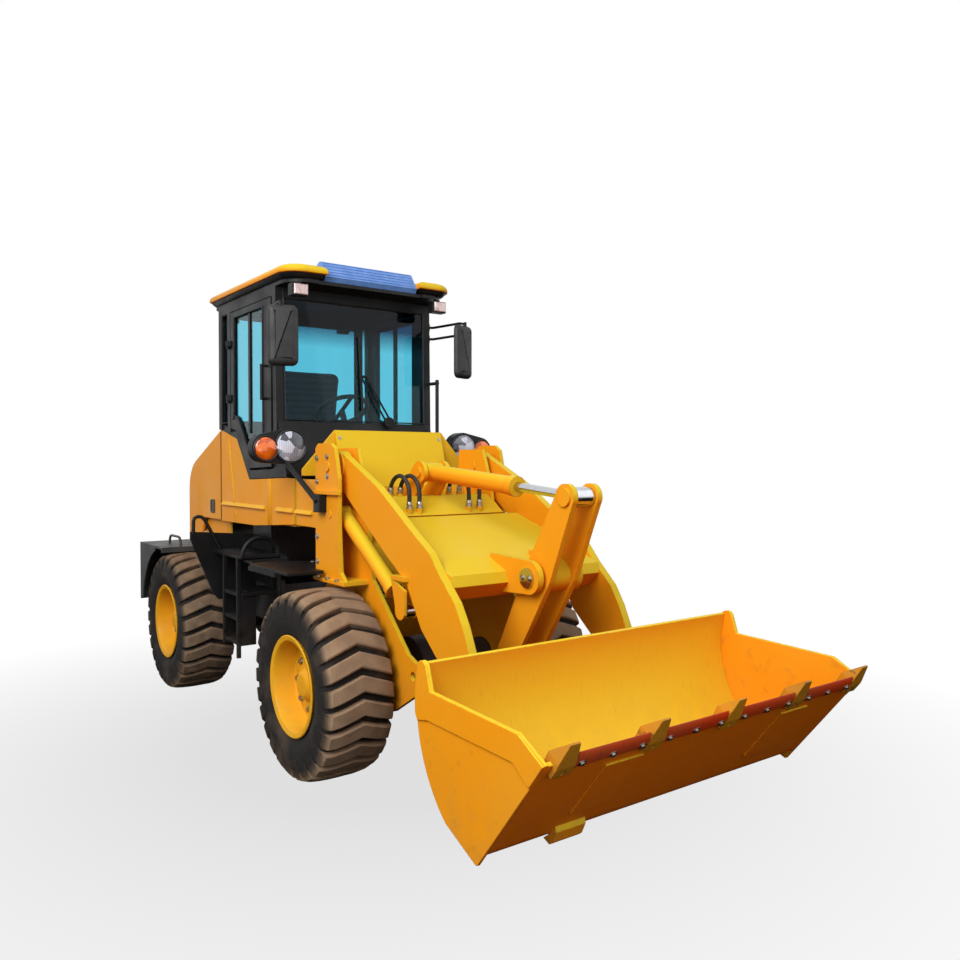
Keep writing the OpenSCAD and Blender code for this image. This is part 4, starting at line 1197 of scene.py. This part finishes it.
@dataclass
class Cab:
    """Cab trim: roof canopy, window rubbers, mirrors, lamps and seat cushions."""
    roof_low: float = 2.985
    roof_high: float = 3.075
    back: float = -2.100
    front: float = -0.600
    half: float = 0.650
    corner: float = 0.150
    notch: tuple[float, float] = (-0.850, 0.352)
    door_face: float = 0.609
    door_window: tuple[tuple[float, float], ...] = ((-1.640, 2.140), (-1.640, 2.855), (-1.090, 2.855),
                                                    (-1.090, 1.850), (-1.330, 1.840), (-1.570, 2.120))
    quarter_face: float = 0.5995
    quarter_window: tuple[float, ...] = (-1.921, 2.092, -1.794, 2.901)
    pane_half: float = 0.545
    windscreen: tuple[float, ...] = (-0.868, 2.080, -0.882, 2.890)
    rear_window: tuple[float, ...] = (-1.955, 2.110, -1.955, 2.900)
    mirror_spot: tuple[float, float, float] = (-0.556, 0.690, 2.590)
    mirror_turn: float = 20.0
    bracket_heights: tuple[float, float] = (2.715, 2.800)
    seat_lean: float = 80.4
    pad_corner: float = 0.060

    def build(self) -> None:
        """Make the trim of the cab."""
        self._roof()
        self._rubbers()
        self._mirrors()
        self._lamps()
        self._seat()

    def _roof(self) -> None:
        """Shape the canopy with a rolled edge and the notch for the ribbed panel."""
        r, x1, y1 = self.corner, self.front, self.half
        deep, wide = self.notch
        plan = (arc((x1 - r, y1 - r), r, 0, 90, 14) + [(self.back + 0.05, y1), (self.back, y1 - 0.05),
                (self.back, 0.05 - y1), (self.back + 0.05, -y1)] + arc((x1 - r, r - y1), r, 270, 360, 14)
                + [(x1, -wide), (deep, -wide), (deep, wide), (x1, wide)])
        low, high = self.roof_low, self.roof_high
        steps = [(low + 0.030, 0.012), (low + 0.033, 0.003), (low + 0.040, 0.0), (low + 0.056, 0.002),
                 (low + 0.070, 0.010), (low + 0.081, 0.024), (low + 0.088, 0.046), (high, 0.080)]
        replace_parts(show("roof_canopy", Shape().loft(plan, steps), "loader", "rear_frame", smooth=40),
                    "cab_roof")
        under = [(low, 0.046), (low + 0.012, 0.030), (low + 0.030, 0.014)]
        show("roof_lining", Shape().loft(plan, under), "black", "rear_frame", smooth=50)

    def _rubbers(self) -> None:
        """Run a rubber strip round every window."""
        for side in Side:
            label = side.name.lower()
            loop = [(x, side.value * self.door_face, z) for x, z in self.door_window]
            show(f"door_rubber_{label}", Shape().tube(loop, 0.007, 8, loop=True), "gasket", f"door_{label}")
        panes = Shape()
        back, low, front, high = self.quarter_window
        for side in Side:
            y = side.value * self.quarter_face
            panes.tube([(back, y, low), (back, y, high), (front, y, high), (front, y, low)], 0.006, 8,
                       loop=True)
        y = self.pane_half
        for foot, low, head, high in (self.windscreen, self.rear_window):
            panes.tube([(foot, -y, low), (foot, y, low), (head, y, high), (head, -y, high)], 0.008, 8,
                       loop=True)
        show("cab_window_rubbers", panes, "gasket", "rear_frame")

    def _mirrors(self) -> None:
        """Shape the mirror shells with their tube brackets and silvered faces."""
        shells, faces, arms = Shape(), Shape(), Shape()
        outline = rounded(0.095, 0.190, 0.040)
        dome = [(-0.022, 0.004), (-0.020, 0.0), (-0.004, 0.0), (0.010, 0.008), (0.019, 0.024), (0.023, 0.050)]
        shells.loft(outline, dome, Plane.FRONT)
        faces.loft(outline, [(-0.0245, 0.010), (-0.0215, 0.008)], Plane.FRONT)
        turn = Matrix.Translation(self.mirror_spot) @ Matrix.Rotation(math.radians(self.mirror_turn), 4, "Z")
        shells.turned(turn)
        faces.turned(turn)
        for z in self.bracket_heights:
            arms.tube([(-0.900, 0.606, z), (-0.880, 0.640, z), (-0.620, 0.695, z + 0.004),
                       (-0.575, 0.704, z - 0.004), (-0.560, 0.705, z - 0.03)], 0.0095, 12)
            arms.prism(oblong(-0.915, z - 0.025, -0.885, z + 0.025), 0.605, 0.612)
        arms.tube([(-0.560, 0.705, 2.640), (-0.560, 0.705, 2.805)], 0.011, 12)
        brackets = show("mirror_brackets", arms.mirrored(), "black", "rear_frame")
        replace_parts(brackets, "mirrors")
        show("mirror_shells", shells.mirrored(), "plastic", "rear_frame")
        show("mirror_faces", faces.mirrored(), "mirror", "rear_frame")

    def _lamps(self) -> None:
        """Set lenses in the square work lamps under the roof."""
        shape = Shape()
        shape.loft(oblong(0.486, 2.874, 0.582, 2.940), [(-0.631, 0.0), (-0.626, 0.001), (-0.622, 0.006)],
                   Plane.FRONT)
        show("work_lamp_lenses", shape.mirrored(), "rose", "rear_frame")

    def _seat(self) -> None:
        """Stuff the seat cushion and the back in place of the plain blocks."""
        cushion = Shape().loft(rounded(0.235, 0.240, self.pad_corner),
                               [(1.934, 0.02), (1.945, 0.004), (2.005, 0.002), (2.022, 0.02)])
        cushion.turned(Matrix.Translation((-1.495, 0, 0)))
        back = Shape().loft(rounded(0.215, 0.262, self.pad_corner),
                            [(-0.040, 0.02), (-0.028, 0.004), (0.024, 0.002), (0.036, 0.02)])
        lean = math.radians(self.seat_lean)
        back.turned(Matrix.Translation((-1.715, 0, 2.296)) @ Matrix.Rotation(-lean, 4, "Y"))
        first = stuffed("seat_cushion", cushion.data("cushion"))
        second = stuffed("seat_back", back.data("back"))
        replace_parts(first, "seat_pads")


def stuffed(name: str, mesh: Mesh, voxel: float = 0.006, cap: float = 0.012) -> Piece:
    """Stuff a pad by cloth simulation and keep the result as its mesh.

    Args:
        name: name of the piece.
        mesh: closed mesh, slightly smaller than the pad.
        voxel: size of the remeshed faces.
        cap: most that a point may move.
    Returns:
        The piece.
    """
    maker = linked(name + "_maker", mesh)
    even = maker.modifiers.new("even", "REMESH")
    even.mode, even.voxel_size = "VOXEL", voxel
    plain = settled(maker)
    maker.modifiers.remove(even)
    maker.data = plain
    rest = [v.co.copy() for v in plain.vertices]
    cloth = maker.modifiers.new("stuffing", "CLOTH")
    cloth.settings.use_pressure = True
    cloth.settings.uniform_pressure_force = 4.0
    cloth.settings.effector_weights.gravity = 0.0
    for step in range(1, 21):
        bpy.context.scene.frame_set(step)
    swollen = settled(maker)
    maker.modifiers.remove(cloth)
    for vertex, start in zip(swollen.vertices, rest):
        move = vertex.co - start
        if move.length > cap:
            vertex.co = start + move * (cap / move.length)
    bpy.context.scene.frame_set(1)
    mesh = swollen
    bpy.data.objects.remove(maker)
    piece = show(name, mesh, "cloth", "rear_frame", smooth=60)
    soft = piece.modifiers.new("soft", "SUBSURF")
    soft.levels = soft.render_levels = 1
    return piece


@dataclass
class Lamps:
    """Headlamp lenses with their bezels, and the lamps at the tail."""
    front: float = -0.512
    clear_spot: tuple[float, float] = (0.660, 1.895)
    amber_spot: tuple[float, float] = (0.822, 1.880)
    clear_radius: float = 0.096
    amber_radius: float = 0.071
    tail: float = -3.090

    def build(self) -> None:
        """Make the lenses and bezels."""
        for name, spot, r in (("clear", self.clear_spot, self.clear_radius),
                              ("amber", self.amber_spot, self.amber_radius)):
            dome = [(0.002, 0.020), (r * 0.3, 0.0195), (r * 0.6, 0.0165), (r * 0.85, 0.0105),
                    (r * 0.97, 0.004), (r, -0.004), (0.002, -0.004)]
            lens = Shape().lathe(dome, (self.front, *spot), (1, 0, 0), 48).mirrored()
            show(f"headlamp_{name}_lenses", lens, name, "front_frame")
            ring = [(r + 0.001, -0.012), (r + 0.009, -0.012), (r + 0.009, 0.003), (r + 0.005, 0.007),
                    (r + 0.001, 0.004)]
            rim = Shape().lathe(ring, (self.front, *spot), (1, 0, 0), 48, loop=True).mirrored()
            show(f"headlamp_{name}_bezels", rim, "plastic", "front_frame")
        steps = [(self.tail + 0.002, 0), (self.tail - 0.016, 0), (self.tail - 0.022, 0.008)]
        lamp = Shape().loft(oblong(0.300, 1.030, 0.430, 1.100), steps, Plane.FRONT)
        show("tail_lamps", lamp.mirrored(), "ruby", "rear_frame", bevel=0.003)


@dataclass
class Body:
    """Body trim: pressed lips and seams, latches, skirts, hood louvres, handrails and treads on the steps."""
    panel: float = 0.592
    tower: float = 0.593
    hood: float = 0.560
    lip_low: float = 1.470
    lip_high: float = 1.500
    hood_slope: float = 21.0

    def build(self, repeats: Repeats) -> None:
        """Make the trim of the body."""
        self._pressings()
        self._latches()
        self._louvres(repeats)
        self._rails()
        self._treads(repeats)

    def _lip(self, face: float, start: float, end: float) -> Shape:
        """Shape one pressed lip whose lower side stands square and throws a shadow line."""
        section = [(face - 0.001, self.lip_low), (face + 0.018, self.lip_low),
                   (face + 0.018, self.lip_low + 0.006), (face - 0.001, self.lip_high)]
        return Shape().prism(section, start, end, Plane.FRONT)

    def _pressings(self) -> None:
        """Lay the pressed lips, the seam strip, the fold and the skirt of the side panels."""
        face = self.panel
        for name, start, end, body, side in (("rear_lips", -1.945, -1.100, "rear_frame", face),
                                             ("middle_lips", -0.900, -0.632, "rear_frame", face),
                                             ("tower_lips", -0.592, -0.345, "front_frame", self.tower)):
            show(name, self._lip(side, start, end).mirrored(), "loader", body, 0.0015)
        strip = [(-1.050, 1.374), (-0.988, 1.378), (-0.988, 1.680), (-1.050, 1.678)]
        fold = [(-1.678, 1.366), (-1.656, 1.366), (-1.790, 1.966), (-1.812, 1.966)]
        seams = Shape()
        for outline in (strip, fold):
            seams.loft(outline, [(face - 0.001, 0.0), (face + 0.003, 0.0), (face + 0.006, 0.004)], Plane.SIDE)
        show("panel_seams", seams.mirrored(), "loader", "rear_frame", smooth=50)
        seal = Shape().box((-1.984, face - 0.010, 1.352), (-1.974, face + 0.004, 2.030)).mirrored()
        show("panel_seals", seal, "gasket", "rear_frame", 0.002)
        skirt = Shape().prism([(-2.560, 1.160), (-1.965, 1.160), (-1.965, 1.372), (-2.480, 1.372)], 0.508,
                              0.524)
        show("hood_skirts", skirt.mirrored(), "loader", "rear_frame", 0.003)

    def _latches(self) -> None:
        """Set the recessed latches and the tail handle of the hood."""
        latch = Shape().loft(rounded(0.050, 0.055, 0.022),
                             [(-0.001, 0.0), (0.004, 0.0), (0.006, 0.003), (0.006, 0.010), (0.002, 0.014)],
                             Plane.SIDE)
        latch.turned(Matrix.Translation((-2.270, self.hood, 1.445)))
        show("hood_latches", latch.mirrored(), "plastic", "hood")
        grip = Shape().tube([(-2.873, -0.110, 1.600), (-2.896, -0.105, 1.600), (-2.900, -0.090, 1.600),
                             (-2.900, 0.090, 1.600), (-2.896, 0.105, 1.600), (-2.873, 0.110, 1.600)], 0.009,
                            12)
        show("hood_handle", grip, "plastic", "hood")

    def _louvres(self, repeats: Repeats) -> None:
        """Press a row of louvres into the slope of the hood."""
        slat = Shape().loft(oblong(-0.012, -0.220, 0.012, 0.220),
                            [(0.0, 0.0), (0.006, 0.002), (0.010, 0.008)], Plane.PLAN)
        row = repeats.copies(slat, 8, (0.045, 0.0, 0.0), (0, 0, 0), "loader")
        shape = Shape(row)
        slope = Matrix.Rotation(-math.radians(self.hood_slope), 4, "Y")
        shape.turned(Matrix.Translation((-2.560, 0, 1.856)) @ slope)
        show("hood_louvres", shape, "loader", "hood", smooth=50)

    def _rails(self) -> None:
        """Bend the handrail of each step unit and the grab bar of each rear fender."""
        rail = Shape().tube([(-1.747, 0.882, 1.272), (-1.747, 0.880, 1.366), (-1.747, 0.872, 1.388),
                             (-1.746, 0.852, 1.398), (-1.744, 0.826, 1.396), (-1.740, 0.804, 1.380),
                             (-1.716, 0.690, 1.148)], 0.013, 12)
        show("step_handrails", rail.mirrored(), "black", "rear_frame")
        bar = Shape().tube([(-2.760, 0.760, 1.118), (-2.752, 0.760, 1.162), (-2.730, 0.760, 1.184),
                            (-2.700, 0.760, 1.190), (-2.520, 0.760, 1.190), (-2.490, 0.760, 1.184),
                            (-2.468, 0.760, 1.162), (-2.460, 0.760, 1.118)], 0.010, 12)
        show("fender_grab_bars", bar.mirrored(), "grey", "rear_frame")

    def _treads(self, repeats: Repeats) -> None:
        """Set raised treads on the platforms and the ladder rungs."""
        nub = Shape().loft(oblong(-0.020, -0.130, -0.006, 0.130),
                           [(0.0, 0.0), (0.004, 0.002), (0.005, 0.004)], Plane.PLAN)
        row = repeats.copies(nub, 11, (0.048, 0, 0), (0, 0, 0), "black")
        shape = Shape(row)
        shape.turned(Matrix.Translation((-1.705, 0.575, 1.1495)))
        for z in (0.5435, 0.7135, 0.8835):
            for y in (0.640, 0.690):
                shape.loft(oblong(-1.515, y, -1.295, y + 0.016), [(z, 0.0), (z + 0.004, 0.002)], Plane.PLAN)
        show("step_treads", shape.mirrored(), "black", "rear_frame", smooth=50)


@dataclass
class Fasteners:
    """Bolts of the tower, the fenders, the cover and the linkage pins."""
    tower: float = 0.6125

    def build(self, repeats: Repeats) -> None:
        """Set every row of bolts."""
        out, up = (0, 1, 0), (0, 0, 1)
        feet = [((x, 0.622, 1.112), up) for x in (-0.20, -0.08, 0.04)]
        pins = [((-0.100, self.tower, 1.770 + dz), out) for dz in (0.058, -0.058)]
        webs = [((-0.235, self.tower, z), out) for z in (1.20, 1.35, 1.68, 1.82)]
        cover = [((-0.386 + (2.0 - z) * 0.278 - 0.036, 0.375, z), (0.96, 0, 0.27)) for z in (1.70, 1.95)]
        guards = [((x, 0.50, 1.158), up) for x in (-0.55, -0.35)]
        ends = [((x, 0.680, 1.120), up) for x in (-2.95, -2.55)]
        crank = [((1.190 + dx, 0.162, 1.220), out) for dx in (0.026, -0.026)]
        weight = [((-3.090, 0.33, z), (-1, 0, 0)) for z in (0.70, 0.93)]
        for name, spots, body, head, height in (("tower_bolts", feet + pins + webs, "front_frame", 0.012,
                                                 0.010),
                                                ("cover_bolts", cover, "front_frame", 0.008, 0.006),
                                                ("fender_bolts", guards, "front_frame", 0.009, 0.007),
                                                ("rear_fender_bolts", ends, "rear_frame", 0.010, 0.008),
                                                ("crank_pin_bolts", crank, "crank_pin", 0.010, 0.008),
                                                ("counterweight_bolts", weight, "rear_frame", 0.018, 0.014)):
            repeats.bolts(name, both_sides(spots), body, head, height)


def main() -> None:
    """Build the studio, then the machine piece by piece."""
    logging.basicConfig(level=logging.INFO, format="%(name)s %(message)s")
    Studio().build()
    Hoses().build()
    FINISH.dress_nodes()
    repeats = Repeats()
    for end in End:
        for side in Side:
            Wheel(end, side).build(repeats)
    Bucket().build(repeats)
    Cab().build()
    Lamps().build()
    Body().build(repeats)
    Fasteners().build(repeats)


if __name__ == "__main__":
    main()
